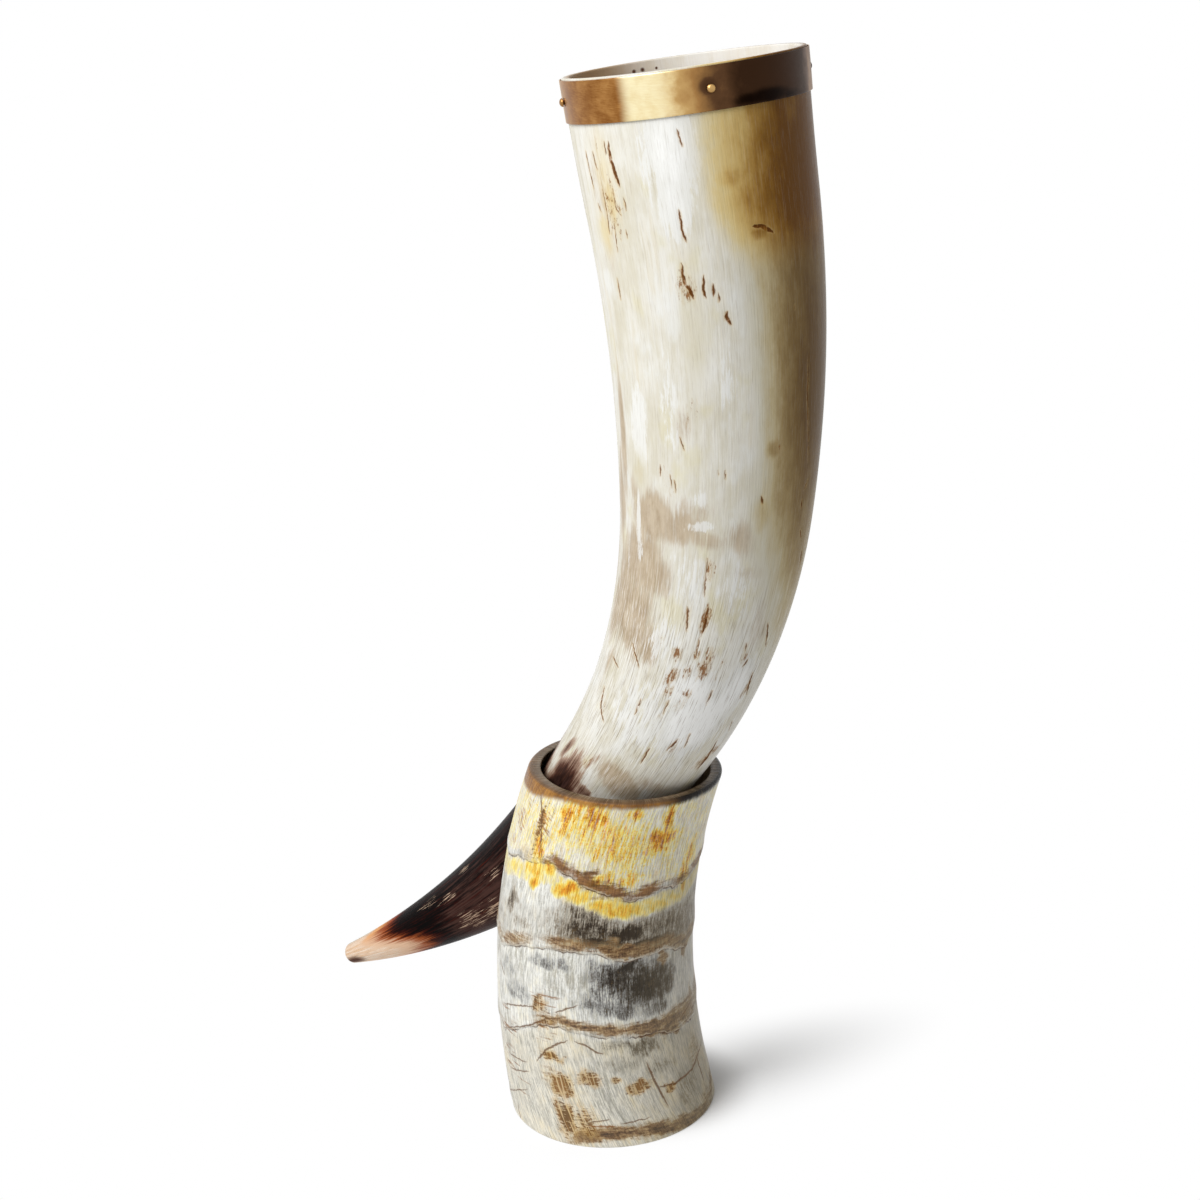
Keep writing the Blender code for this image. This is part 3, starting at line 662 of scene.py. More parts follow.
# %% Shader sums in Python
class Wire:
    """A socket in a material's node tree. Sums on it add Math nodes, and add() makes any other node."""

    def __init__(self, tree, socket=None):
        self.tree = tree
        self.socket = socket

    def add(self, kind, settings, sockets, output=0):
        """A node of that kind: its settings first, then a value or a link for each named socket."""
        node = self.tree.nodes.new("ShaderNode" + kind)
        stops = settings.pop("stops", ())
        for name, value in settings.items():
            setattr(node, name, value)
        for number, (place, colour) in enumerate(stops):
            if number > 1:
                node.color_ramp.elements.new(place)
            node.color_ramp.elements[number].position = place
            node.color_ramp.elements[number].color = colour
        for name, value in sockets.items():
            if isinstance(value, Wire):
                self.tree.links.new(value.socket, node.inputs[name])
            else:
                node.inputs[name].default_value = value
        return Wire(self.tree, node.outputs[output])

    def math(self, operation, first, second=0.0):
        return self.add("Math", {"operation": operation}, {0: first, 1: second})

    def __add__(self, other):
        return self.math("ADD", self, other)

    __radd__ = __add__

    def __mul__(self, other):
        return self.math("MULTIPLY", self, other)

    __rmul__ = __mul__

    def __sub__(self, other):
        return self.math("SUBTRACT", self, other)

    def __rsub__(self, other):
        return self.math("SUBTRACT", other, self)

    def size(self):
        """The number without its sign."""
        return self.math("ABSOLUTE", self)

    def most(self, other):
        """The larger of two numbers."""
        return self.math("MAXIMUM", self, other)

    def __getitem__(self, name):
        """A number that hangs on the mesh, under its name in square brackets."""
        return self.add("Attribute", {"attribute_name": name}, {}, "Fac")

    def vector(self, name):
        """A vector that hangs on the mesh."""
        return self.add("Attribute", {"attribute_name": name}, {}, "Vector")

    def parts(self):
        """The three numbers of a vector."""
        node = self.add("SeparateXYZ", {}, {0: self}).socket.node
        return [Wire(self.tree, socket) for socket in node.outputs]

    def stretched(self, x, y, z):
        """A vector with its parts multiplied."""
        return self.add("VectorMath", {"operation": "MULTIPLY"}, {0: self, 1: (x, y, z)})

    def scaled(self, factor):
        """A colour made lighter or darker by a factor, but never over white."""
        lit = self.add("VectorMath", {"operation": "SCALE"}, {0: self, "Scale": factor})
        return self.add("VectorMath", {"operation": "MINIMUM"}, {0: lit, 1: (1, 1, 1)})

    def noise(self, scale, detail=2.0, rough=0.5):
        """Cloudy noise over this vector, about 0 in the mean."""
        return self.add("TexNoise", {}, {
            "Vector": self, "Scale": scale, "Detail": detail, "Roughness": rough}) - 0.5

    def step(self, low, high):
        """A smooth step from 0 at low to 1 at high."""
        return self.add("MapRange", {"interpolation_type": "SMOOTHSTEP"}, {
            "Value": self, "From Min": low, "From Max": high})

    def mix(self, first, second):
        """The first colour where this is 0, the second where it is 1."""
        return self.add("Mix", {"data_type": "RGBA"}, {0: self, 6: paint(first), 7: paint(second)}, 2)

    def ramp(self, *stops):
        """A colour for each value between stops of (place, colour)."""
        painted = [(place, paint(colour)) for place, colour in stops]
        return self.add("ValToRGB", {"stops": painted}, {0: self}, "Color")

    def drawn(self, layers, wobble, soft):
        """1 on the tapered lines that hang on the mesh, where the distance across is less than their room."""
        shown = 0.0
        for name in layers:
            side, room, _ = self.vector(name).parts()
            shown = (1.0 - ((side + wobble).size() - room).step(-soft, soft)).most(shown)
        return shown


# %% Colours and new finishes
def paint(colour):
    """A colour as a screen shows it, 0 to 255, turned into linear light for the shaders. A wire stays."""
    if isinstance(colour, Wire):
        return colour
    shown = np.array(colour) / 255.0
    light = np.where(shown <= 0.04045, shown / 12.92, ((shown + 0.055) / 1.055) ** 2.4)
    return (*light.tolist(), 1.0)


def new_finish(name):
    """An empty material with a Principled shader, and a wire to start its sums from."""
    material = bpy.data.materials.new(name)
    material.use_nodes = True
    shader = material.node_tree.nodes["Principled BSDF"]
    return material, shader, Wire(material.node_tree)


def feed(shader, **sockets):
    """Link wires, or set plain values, on a shader's sockets; underscores stand for spaces."""
    for name, value in sockets.items():
        target = shader.inputs[name.replace("_", " ")]
        if isinstance(value, Wire):
            value.tree.links.new(value.socket, target)
        else:
            target.default_value = value


# %% [markdown]
# The polished horn is cream to white, with fine fibres along it. Amber, tan and nearly black zones lie over
# that, each with an edge frayed by the fibres. Noise stretched along the horn gives the fibres, and
# the values hung on the mesh say where each zone is.

# %% Polished horn
CREAM = (217, 211, 192)
MILK = (237, 235, 227)

horn_finish, horn_shader, start = new_finish("polished_horn")
fibre_space = start.vector("grain")
fine_fibre = fibre_space.stretched(1, 1, 0.035).noise(1500.0, 3.0, 0.6)
broad_fibre = fibre_space.stretched(1, 1, 0.06).noise(300.0, 3.0, 0.55)
cloud = fibre_space.stretched(1, 1, 0.4).noise(60.0, 3.0, 0.55)
blotch = fibre_space.stretched(1, 1, 0.5).noise(200.0, 5.0, 0.65)
scuff = fibre_space.stretched(1, 1, 0.16).noise(700.0, 5.0, 0.75)
fray = 0.8 * broad_fibre + 0.7 * fine_fibre + 0.7 * blotch + 0.8 * scuff

colour = (cloud + 0.5 * fray).step(-0.24, 0.22).mix(CREAM, MILK)
colour = (0.35 * (fine_fibre + 0.4 * scuff).step(0.06, 0.28)).mix(colour, (196, 186, 164))
colour = (0.40 * (broad_fibre + 0.6 * cloud).step(0.06, 0.24)).mix(colour, (214, 202, 170))
haze = fibre_space.stretched(1, 1, 0.6).noise(85.0, 3.0, 0.55)
colour = (0.55 * haze.step(0.03, 0.22)).mix(colour, (222, 214, 176))
colour = (0.55 * (0.0 - haze).step(0.03, 0.22)).mix(colour, (238, 239, 236))
tip_streak = fibre_space.stretched(1, 1, 0.05).noise(700.0, 3.0, 0.6)
tip_colour = (tip_streak + 0.6 * blotch).step(-0.15, 0.2).mix((228, 186, 146), (246, 226, 206))
colour = start["warm"].mix(colour, tip_colour)

tan_zone = (start["tan"] + 0.9 * fray + 0.5 * scuff).step(0.18, 0.78)
tan_colour = (blotch + 0.7 * scuff).step(-0.25, 0.25).mix((172, 150, 122), (203, 186, 160))
colour = (0.92 * tan_zone).mix(colour, tan_colour)
# White islands, and where listed painted highlight and painted light.
white_zone = (start["white"] + 0.9 * fray + 1.4 * scuff).step(0.48, 0.78)
colour = (0.80 * white_zone).mix(colour, (240, 240, 236))
# The strongest patches go on to almost pure white, which low on the front is painted light.
colour = (start["white"] + 0.6 * scuff).step(0.95, 1.35).mix(colour, (255, 255, 252))

amber_depth = start["amber"] + (0.15 * fray + 0.35 * cloud + 0.25 * blotch) * start["amber"].step(0.02, 0.3)
# Olive: the amber lower on the horn, darkening towards the right side, partly its colour and partly painted
# shade.
olive = amber_depth.ramp(
    (0.0, (229, 225, 212)), (0.20, (219, 213, 192)), (0.42, (206, 190, 150)),
    (0.60, (174, 150, 104)), (0.80, (138, 110, 64)), (0.95, (116, 86, 42)))
gold = amber_depth.ramp(
    (0.0, (229, 224, 208)), (0.15, (226, 208, 158)), (0.35, (222, 196, 134)),
    (0.50, (212, 180, 112)), (0.65, (184, 144, 74)), (0.80, (150, 106, 34)), (0.95, (118, 74, 4)))
amber_colour = start["gilded"].mix(olive, gold)
colour = amber_depth.step(0.0, 0.25).mix(colour, amber_colour)
hair = fibre_space.stretched(1, 1, 0.05).noise(2000.0, 2.0, 0.7)
colour = ((0.13 + 0.37 * start["worn"]) * hair.step(0.03, 0.17)).mix(colour, (134, 114, 84))
colour = ((0.05 + 0.55 * start["worn"]) * (0.0 - hair).step(0.03, 0.17)).mix(colour, (255, 254, 250))

# %% Dark end, slits, pits and gloss of the horn
dark_depth = start["dark"] + (0.9 * tip_streak + 0.5 * blotch) * start["dark"].step(0.01, 0.3)
burnt = (start["worn_dark"] + 1.2 * fray + 0.8 * tip_streak).step(0.50, 1.05).mix((6, 4, 4), (72, 48, 42))
pale_edge = start["russet"].step(0.2, 0.8).mix((232, 152, 62), (228, 190, 158))
brown_edge = start["russet"].step(0.2, 0.8).mix((150, 54, 6), (160, 82, 40))
dark_colour = dark_depth.step(0.22, 0.62).mix(pale_edge, brown_edge)
dark_colour = dark_depth.step(0.55, 0.82).mix(dark_colour, (58, 16, 9))
dark_colour = dark_depth.step(0.75, 1.0).mix(dark_colour, burnt)
colour = dark_depth.step(0.01, 0.22).mix(colour, dark_colour)
# Stains along the lower horn, and painted shade under the tip.
stain_depth = start["stained"] + 0.9 * fray * start["stained"].step(0.02, 0.2)
stain_colour = stain_depth.ramp(
    (0.1, (206, 190, 170)), (0.40, (168, 140, 120)), (0.68, (92, 60, 48)), (1.0, (28, 16, 12)))
stain_colour = start["dark"].step(0.2, 0.8).most(stain_depth.step(0.75, 1.05)).mix(stain_colour, burnt)
colour = stain_depth.step(0.08, 0.40).mix(colour, stain_colour)
fleck_noise = fibre_space.stretched(1, 1, 0.10).noise(1100.0, 2.0, 0.6)
fleck = (fleck_noise + 0.16 * start["flecks"]).step(0.18, 0.25) * start["flecks"].step(0.1, 0.5)
colour = (0.85 * fleck).mix(colour, (206, 176, 150))

wander = fibre_space.noise(420.0, 2.0)
pit_noise = fibre_space.stretched(1, 1, 0.35).noise(800.0, 4.0, 0.72)
pit = (0.30 * start["pitted"] + pit_noise).step(0.23, 0.33) * start["pitted"].step(0.12, 0.45)
crumble = pit_noise + 0.8 * wander
slit = start.drawn(SLIT_LAYERS, 1.2 * wander + 0.8 * scuff, 0.24) * crumble.step(-0.34, -0.10)
slit_core = start.drawn(SLIT_LAYERS, 0.16 + 1.2 * wander + 0.8 * scuff, 0.12) * crumble.step(-0.20, 0.02)
halo = start.drawn(SLIT_LAYERS, 3.0 * scuff, 1.1) * (crumble + 0.6 * scuff).step(-0.25, 0.05)
colour = (0.80 * halo).mix(colour, (212, 180, 116))
broken = (0.7 * start["pitted"] + 1.5 * scuff + 1.0 * pit_noise).step(0.25, 0.75)
colour = (0.55 * broken * start["pitted"].step(0.05, 0.4)).mix(colour, (200, 174, 128))
colour = (0.85 * pit).mix(colour, (138, 86, 34))
colour = (0.85 * slit).mix(colour, (148, 92, 30))
colour = (0.75 * slit_core).mix(colour, (74, 34, 6))

inner_colour = (cloud + 0.5 * fray).step(-0.2, 0.2).mix((234, 227, 213), (244, 241, 234))
# Painted shade: one side of the hollow darkens towards brown.
inner_colour = start["smoked"].mix(inner_colour, (172, 138, 98))
place = start.add("TexCoord", {}, {}, "Object")
for spot, half_width in zip(mouth_spots.tolist(), MOUTH_SPOT_SIZES):
    gap = start.add("VectorMath", {"operation": "DISTANCE"}, {0: place, 1: spot}, "Value")
    inner_colour = (1.0 - (gap + 0.0012 * wander).step(0.5 * half_width, 1.3 * half_width)).mix(
        inner_colour, (84, 52, 36))
colour = start["outside"].mix(inner_colour, colour)
height = 0.5 * fine_fibre + 0.4 * broad_fibre - 0.5 * slit - 0.4 * pit
bump = start.add("Bump", {}, {"Strength": 0.35, "Distance": 0.0006, "Height": height})
gloss = 0.30 + 0.20 * broad_fibre + 0.25 * (slit + pit)
polish = 0.22 - 0.19 * start["dark"].most(start["stained"]).step(0.3, 0.8).most(slit).most(pit)
feed(horn_shader, Base_Color=colour, Roughness=gloss, Normal=bump, Specular_IOR_Level=0.01,
     Coat_Weight=polish, Coat_Roughness=0.22)
horn.data.materials.append(horn_finish)
print("polished horn:", len(horn_finish.node_tree.nodes), "nodes")

# %% [markdown]
# The stand is a bowed, slightly oval length of a bigger horn, sawn flat at both ends. Growth ridges wave
# round it like the edges of layered bark. Its surface is a closed grid: up the outside, over the rounded
# lip and down the bore. The horn's own swept form, with a little room round it, is then cut out of
# it, which opens the side hole.

# %% Stand formulas
def stand_share(height, values):
    """The parabola through a foot, waist and mouth value."""
    share = height / STAND_HEIGHT
    foot, waist, mouth = values
    lower = foot * (1.0 - share) * (1.0 - 2.0 * share)
    return lower + waist * 4.0 * share * (1.0 - share) + mouth * share * (2.0 * share - 1.0)


def stand_centre(height):
    """Sideways place of the axis: a straight lean less a parabola that bows it towards -X."""
    share = height / STAND_HEIGHT
    return FOOT_X + STAND_LEAN * share - STAND_BOW * 4.0 * share * (1.0 - share)


def stand_points(height, inset, around):
    """Points on the oval at a height, drawn in by an inset, and the way out there."""
    radius = stand_share(height, STAND_RADII) - inset
    depth = radius * stand_share(height, STAND_DEPTHS) / stand_share(height, STAND_RADII)
    x = stand_centre(height) + radius * np.cos(around)
    place = np.stack((x, depth * np.sin(around), height), axis=-1)
    outward = np.stack((np.cos(around), np.sin(around), np.zeros_like(around)), axis=-1)
    return place, outward


# %% Stand grid
STAND_ROWS = 200
STAND_COLUMNS = 330
BORE_ROWS = 24
STAND_SEAM = math.radians(120.0)
LIP_ROWS = 8

bend = np.linspace(0.0, math.pi / 2, LIP_ROWS)
lip_level = STAND_HEIGHT - STAND_LIP_ROUND
wall_heights = np.linspace(STAND_FOOT_CHAMFER, lip_level, STAND_ROWS)
foot_bend = bend[:-1]
stand_heights = np.concatenate((
    STAND_FOOT_CHAMFER * (1.0 - np.cos(foot_bend)),
    wall_heights,
    lip_level + STAND_LIP_ROUND * np.sin(bend[1:]),
    STAND_HEIGHT - STAND_FOOT_CHAMFER * (1.0 - np.cos(bend)),
    np.linspace(STAND_HEIGHT - STAND_FOOT_CHAMFER, 0.0, BORE_ROWS)[1:],
))
stand_insets = np.concatenate((
    STAND_FOOT_CHAMFER * (1.0 - np.sin(foot_bend)),
    np.zeros(STAND_ROWS),
    STAND_LIP_ROUND * (1.0 - np.cos(bend[1:])),
    STAND_WALL - STAND_FOOT_CHAMFER * (1.0 - np.sin(bend)),
    np.full(BORE_ROWS - 1, STAND_WALL),
))
stand_turns = ring_turns(STAND_COLUMNS) + STAND_SEAM
height_grid, turn_grid = np.meshgrid(stand_heights, stand_turns, indexing="ij")
inset_grid = np.repeat(stand_insets[:, None], STAND_COLUMNS, axis=1)
stand_base, stand_outward = stand_points(height_grid, inset_grid, turn_grid)
wall = inset_grid < STAND_LIP_ROUND
stand_skin = Unrolled(
    stand_base[wall], stand_outward[wall], turn_grid[wall], height_grid[wall],
    lambda height: stand_share(height, STAND_RADII))
print(len(stand_heights), "rows of", STAND_COLUMNS, "points")

# %% Growth ridges
RIDGE_TOP = (
    (509, 852), (520, 855), (540, 861), (552, 863), (563, 870), (579, 882), (595, 890), (617, 896),
    (630, 900), (639, 897), (663, 887), (682, 882), (692, 870))
RIDGE_MIDDLE = (
    (502, 942), (520, 944), (544, 947), (576, 950), (601, 954), (612, 958), (625, 960), (638, 957),
    (649, 953), (665, 948), (686, 945))
RIDGE_LOW = (
    (505, 1027), (530, 1025), (546, 1022), (560, 1028), (586, 1034), (606, 1037), (629, 1036),
    (654, 1031), (675, 1029), (687, 1021), (695, 1008))
RIDGE_FOOT = (
    (528, 1124), (563, 1142), (583, 1137), (621, 1133), (646, 1131), (670, 1127), (695, 1116), (710, 1099))
RIDGE_FRAYS = ((0.30 * MM, 5.0, 0), (0.25 * MM, 17.0, 9))
RIDGE_BACKS = {
    "top": ((60.0, 124.0), (110.0, 117.0), (160.0, 125.0)),
    "middle": ((60.0, 92.0), (110.0, 86.0), (160.0, 90.0)),
    "low": ((60.0, 64.0), (110.0, 58.0), (160.0, 55.0)),
    "foot": ((60.0, 20.0), (110.0, 15.0), (170.0, 12.0)),
}


def ridge_nodes(pixels, back):
    """Angles and heights of a ridge: where it shows in the photograph, and a likely run round the back."""
    places = [stand_skin.spot(pixel) for pixel in pixels]
    places += [(math.radians(turn), level * MM) for turn, level in back]
    places = sorted((turn % (2 * math.pi), level) for turn, level in places)
    return np.array(places).T


ridges = {
    name: ridge_nodes(pixels, RIDGE_BACKS[name])
    for name, pixels in (
        ("top", RIDGE_TOP), ("middle", RIDGE_MIDDLE), ("low", RIDGE_LOW), ("foot", RIDGE_FOOT))
}


def above_ridge(name, around, height):
    """Height above a ridge, whose level is drawn straight between its nodes and frayed by small waves."""
    level = np.interp(around, *ridges[name], period=2 * math.pi)
    fray = sum(
        size * soft_waves(turns * around, height * 0.0, len(name) + seed, 0.01)
        for size, turns, seed in RIDGE_FRAYS)
    return height - level - fray


for name, (turns, levels) in ridges.items():
    print(name, "ridge between", (levels.min() / MM).round(1), "and", (levels.max() / MM).round(1), "mm")

# %% [markdown]
# The stand's colours follow its ridges: brown above each edge, yellow and orange below the top one, a dark
# grey band between the upper two and a brushed grey patch below them. Scratches, hatched patches and
# cracks are lines and patches placed by pixel, as on the horn, and seeded ones go round the back.

# %% Lines and hatched patches on the stand
STAND_LINES = (
    (0.3, (503, 1002), (520, 1006), (538, 1007)), (0.3, (555, 1012), (578, 1005)),
    (0.34, (505, 1027), (530, 1025), (546, 1019), (566, 1017)),
    (0.4, (536, 1061), (546, 1050), (558, 1043), (569, 1041)),
    (0.4, (573, 1041), (586, 1046), (596, 1053), (603, 1054)),
    (0.5, (646, 1062), (656, 1084), (669, 1107)),
    (0.45, (656, 1088), (672, 1084), (692, 1069), (697, 1054), (702, 1035)),
    (0.36, (697, 1056), (704, 1081)), (0.36, (501, 960), (505, 975)),
    (0.4, (541, 790), (542, 815), (541, 856)), (0.26, (509, 1052), (527, 1062)),
    (0.26, (512, 1068), (530, 1072)), (0.24, (511, 1088), (528, 1089)), (0.3, (518, 1104), (520, 1120)),
    (0.26, (588, 1123), (610, 1119)), (0.24, (620, 1124), (650, 1117)), (0.24, (690, 1000), (679, 1018)),
)
STAND_HATCHED = (
    (562, 1085, 5, 4.6, 1), (589, 1080, 5.5, 3, 0.85), (566, 1118, 4.6, 7.5, 1, -8),
    (586, 1122, 4.2, 7, 0.7, -8), (640, 1086, 4.4, 2.8, 1), (614, 1082, 1.8, 1.2, 0.9),
    (672, 1087, 3.6, 2, 0.9, 20), (540, 1004, 3.6, 3.8, 0.9), (545, 1024, 3.8, 3.4, 0.7),
    (551, 1056, 5, 2.2, 1), (541, 826, 1.6, 12, 0.8),
)
STAND_SLANTED = (
    (544, 824, 4.6, 8, 1), (522, 818, 5.5, 6, 0.75), (532, 802, 8, 4, 0.45), (514, 838, 4, 5, 0.5),
)
STAND_WRINKLED = (
    (544, 998, 7, 6, 1), (545, 1031, 6, 6, 0.9), (511, 1058, 8, 7, 1), (508, 1020, 8, 8, 0.8),
    (524, 1086, 6, 6, 0.7), (600, 1128, 12, 3, 0.8),
)
STAND_SPECKLED = (
    (622, 852, 14, 7, 1), (640, 866, 10, 4, 0.8), (580, 850, 10, 5, 0.5),
)
LINE_LAYERS = ("line_1", "line_2", "line_3")
STAND_BACK = (50, 190)

stand_lines = stand_skin.lines_at(STAND_LINES)
stand_lines += scattered_lines(31, 22, STAND_BACK, (8, 140), (3, 14), (0.2, 0.45))
hatched_patches = stand_skin.patches_at(STAND_HATCHED)
hatched_patches += scattered_patches(32, 7, STAND_BACK, (10, 60), (2, 6), (2, 6), (0.6, 0.9))
slanted_patches = stand_skin.patches_at(STAND_SLANTED)
slanted_patches += scattered_patches(37, 5, STAND_BACK, (105, 140), (4, 8), (5, 9), (0.5, 0.9))
wrinkled_patches = stand_skin.patches_at(STAND_WRINKLED)
wrinkled_patches += scattered_patches(33, 8, STAND_BACK, (15, 140), (4, 9), (4, 10), (0.6, 1.0))
speckled_patches = stand_skin.patches_at(STAND_SPECKLED)
speckled_patches += scattered_patches(34, 6, STAND_BACK, (118, 142), (6, 14), (4, 9), (0.6, 1.0))
print(len(stand_lines), "lines,", len(hatched_patches), "hatched patches")

# %% Yellow and grey on the stand
STAND_AMBER = (
    (540, 830, 15, 16, 0.34), (590, 828, 18, 14, 0.46), (626, 850, 16, 14, 0.42), (525, 812, 8, 12, 0.3),
    (672, 845, 8, 14, 0.34), (566, 818, 3.4, 11, 0.62), (578, 815, 3, 10, 0.58), (592, 815, 4, 10, 0.7),
    (601, 822, 3.6, 8, 0.62), (618, 835, 8, 7, 0.5), (605, 851, 9, 6, 0.52), (636, 815, 3.6, 5, 0.7),
    (669, 822, 3.2, 11, 0.68), (661, 838, 7, 5, 0.72), (654, 848, 7, 4, 0.58), (541, 846, 3.4, 9, 0.66),
    (691, 850, 4, 9, 0.58), (684, 868, 5, 7, 0.6), (515, 866, 8, 4, 0.46), (535, 868, 7, 4, 0.5),
    (549, 868, 4, 4, 0.56), (533, 880, 2.6, 4, 0.6), (568, 889, 6, 4.5, 0.6, -25),
    (582, 897, 8, 4, 0.54, -25), (602, 906, 9, 3.6, 0.5, -12), (621, 911, 10, 3.8, 0.56),
    (636, 909, 7, 3.4, 0.5, 15), (658, 906, 8, 3, 0.44, 18), (674, 896, 5, 3, 0.44, 25),
    (684, 886, 3, 4, 0.66), (602, 880, 8, 3.2, 0.58, -20), (630, 880, 8, 3.5, 0.48),
)
# The patch at (690, 1085), low on the right, is painted shade on the foot; the others are the stand's grey.
STAND_GREY = (
    (513, 898, 4, 8, 0.55), (522, 922, 7, 5, 0.42), (630, 934, 7, 4, 1.25), (630, 965, 6, 4, 1),
    (642, 1046, 9, 4.5, 0.62), (612, 1046, 9, 3.5, 0.36), (544, 962, 7, 3.5, 0.5), (562, 966, 5, 3, 0.45),
    (516, 990, 10, 4.5, 0.4), (509, 967, 8, 5, 0.36), (625, 1065, 12, 5, 0.34), (640, 984, 15, 11, 1),
    (612, 978, 9, 8, 0.8), (660, 980, 9, 9, 0.95), (592, 972, 4, 6, 0.6), (626, 1006, 13, 5, 0.62),
    (594, 1000, 6, 7, 0.5), (655, 1008, 8, 4, 0.55), (660, 1066, 10, 5, 0.34), (690, 1085, 9, 12, 0.4),
)
STAND_BROWN = (
    (614, 943, 3.2, 3, 0.55), (664, 956, 4, 3, 0.6), (684, 945, 3, 5, 0.85), (551, 1057, 5, 2, 0.4),
    (690, 1000, 3, 8, 0.55), (708, 1098, 6, 6, 0.42), (695, 1050, 6, 10, 0.3), (545, 862, 4, 2.4, 0.42),
    (602, 896, 5, 2, 0.34, -22), (590, 876, 5, 2.4, 0.55, -22), (630, 950, 6, 2.4, 0.95),
    (652, 1030, 7, 3, 0.95, 10), (672, 1022, 5, 5, 0.95, 20), (549, 1076, 5, 8, 0.26),
)
brown_patches = stand_skin.patches_at(STAND_BROWN)
amber_patches = stand_skin.patches_at(STAND_AMBER)
grey_patches = stand_skin.patches_at(STAND_GREY)
print(len(amber_patches), "yellow and", len(grey_patches), "grey patches")

# %% Zones of the stand
FRONT = math.radians(-60.0)
WARP = 1.0 * MM
RIDGE_SWELLS = (0.60 * MM, 0.75 * MM, 0.60 * MM, 0.25 * MM)
RIDGE_SLOPES = (4.5 * MM, 0.5 * MM)
GROOVE_DEPTH = 0.22 * MM
FLAKE_DEPTH = 0.07 * MM
HATCH_DEPTH = 0.12 * MM
RAGGED = 0.8 * MM


def window(turn, first, last, soft):
    """1 between two angles in degrees and 0 outside them, with soft edges."""
    return smooth_step(turn, first - soft, first + soft) * (1.0 - smooth_step(turn, last - soft, last + soft))


def hump(rise, middle, half):
    """exp(-d^2) of the distance in mm from a level above a ridge, over a half height."""
    return np.exp(-((rise / MM - middle) / half) ** 2)


def stand_zones(around, height):
    """The relief in metres and the colour zones at angles and heights on the stand's outside."""
    turn = np.degrees((around - FRONT + math.pi) % (2 * math.pi) - math.pi)
    waves = np.clip(0.5 + 0.3 * soft_waves(around, height * 0.3, 5, 0.02), 0.0, 1.0)
    back = 1.0 - window(turn, -92.0, 92.0, 12.0)
    bent = (
        around + WARP / GRAIN_RADIUS * soft_waves(6.0 * around, height, 41, 0.0015),
        height + WARP * soft_waves(6.0 * around, height, 42, 0.0015))
    top, middle, low, foot = (above_ridge(name, around, height) for name in ridges)

    relief = np.zeros_like(height)
    flakes = soft_waves(4.0 * around, 3.0 * height, 17, 0.006)
    for rise, size in zip((top, middle, low, foot), RIDGE_SWELLS):
        swell = np.exp(-np.abs(rise) / np.where(rise > 0.0, *RIDGE_SLOPES))
        relief += size * swell * (0.65 + 0.35 * waves)
        relief -= GROOVE_DEPTH * hump(rise, -1.4, 1.0)
        relief += FLAKE_DEPTH * flakes * hump(rise, 2.0, 4.0)

    uneven = np.clip(0.75 + 0.25 * soft_waves(3.0 * around, height, 23, 0.01), 0.2, 1.2)
    brown = hump(top, 1.5, 3.4) * (
        0.24 + 0.62 * window(turn, -36, 10, 12) + 0.46 * window(turn, 16, 80, 8) + 0.5 * back * waves)
    brown = np.maximum(brown, hump(middle, 2.6, 3.4) * (
        0.52 + 0.22 * window(turn, -25, 95, 12) + 0.3 * back * waves))
    wide = 2.6 + 3.0 * window(turn, 45, 120, 15)
    brown = np.maximum(brown, hump(low, wide, wide) * (
        0.28 + 0.54 * window(turn, -28, 120, 14) + 0.3 * back * waves))
    brown = np.maximum(brown, hump(foot, 0.2, 2.8) * (0.20 + 0.80 * window(turn, -18, 140, 10)))
    brown = np.maximum(uneven * brown, stand_skin.clouds(*bent, brown_patches))

    ragged = RAGGED * soft_waves(7.0 * around, height * 0.0, 29, 0.01)
    between = smooth_step(-top - ragged, 6.5 * MM, 15.0 * MM) * smooth_step(middle, 0.5 * MM, 4.0 * MM)
    left = smooth_step(-top, 15.0 * MM, 22.0 * MM) * window(turn, -92, -24, 6)
    grey = between * (
        0.76 * window(turn, -22, 20, 14) + 0.56 * window(turn, 20, 95, 14) + 0.24 * left
        + back * (0.4 + 0.6 * waves))
    grey = np.maximum(grey, 1.25 * hump(middle, 4.6, 3.2) * window(turn, -10, 56, 12))
    drifts = np.clip(0.25 + 0.45 * soft_waves(around, 0.4 * height, 36, 0.006), 0.0, 0.9)
    lower = smooth_step(-middle, 2.0 * MM, 5.0 * MM) * smooth_step(low, 4.0 * MM, 9.0 * MM)
    grey = np.maximum(grey, back * drifts * lower)
    grey = np.maximum(grey, stand_skin.clouds(*bent, grey_patches) * (np.abs(middle) > 0.8 * MM))

    amber = stand_skin.clouds(*bent, amber_patches)
    band = smooth_step(-top, 1.0 * MM, 3.0 * MM) * (1.0 - smooth_step(-top, 8.0 * MM, 12.0 * MM))
    amber = np.maximum(amber, band * (0.28 * window(turn, -92, 92, 12) + 0.75 * back * waves))
    upper = smooth_step(top, 0.0 * MM, 3.0 * MM)
    back_amber = np.clip(0.16 + 0.2 * soft_waves(3.0 * around, height, 35, 0.02), 0.0, 0.5)
    amber = np.maximum(amber, upper * (0.20 + back * back_amber))

    hatched = stand_skin.clouds(*bent, hatched_patches, 4.0)
    relief -= HATCH_DEPTH * hatched
    return relief, {
        "ridges": np.stack((top, middle, low), axis=-1) / MM,
        "brown": brown, "grey": grey, "amber": amber, "hatched": hatched,
        "slanted": stand_skin.clouds(*bent, slanted_patches),
        "wrinkled": stand_skin.clouds(around, height, wrinkled_patches),
        "speckled": stand_skin.clouds(around, height, speckled_patches),
        "shaded": smooth_step(turn, 5.0, 70.0) * (1.0 - 0.7 * back),
        # Painted shade on the right side of the lip.
        "dark_lip": smooth_step(turn, 0.0, 55.0) * (1.0 - smooth_step(turn, 120.0, 175.0)),
    }


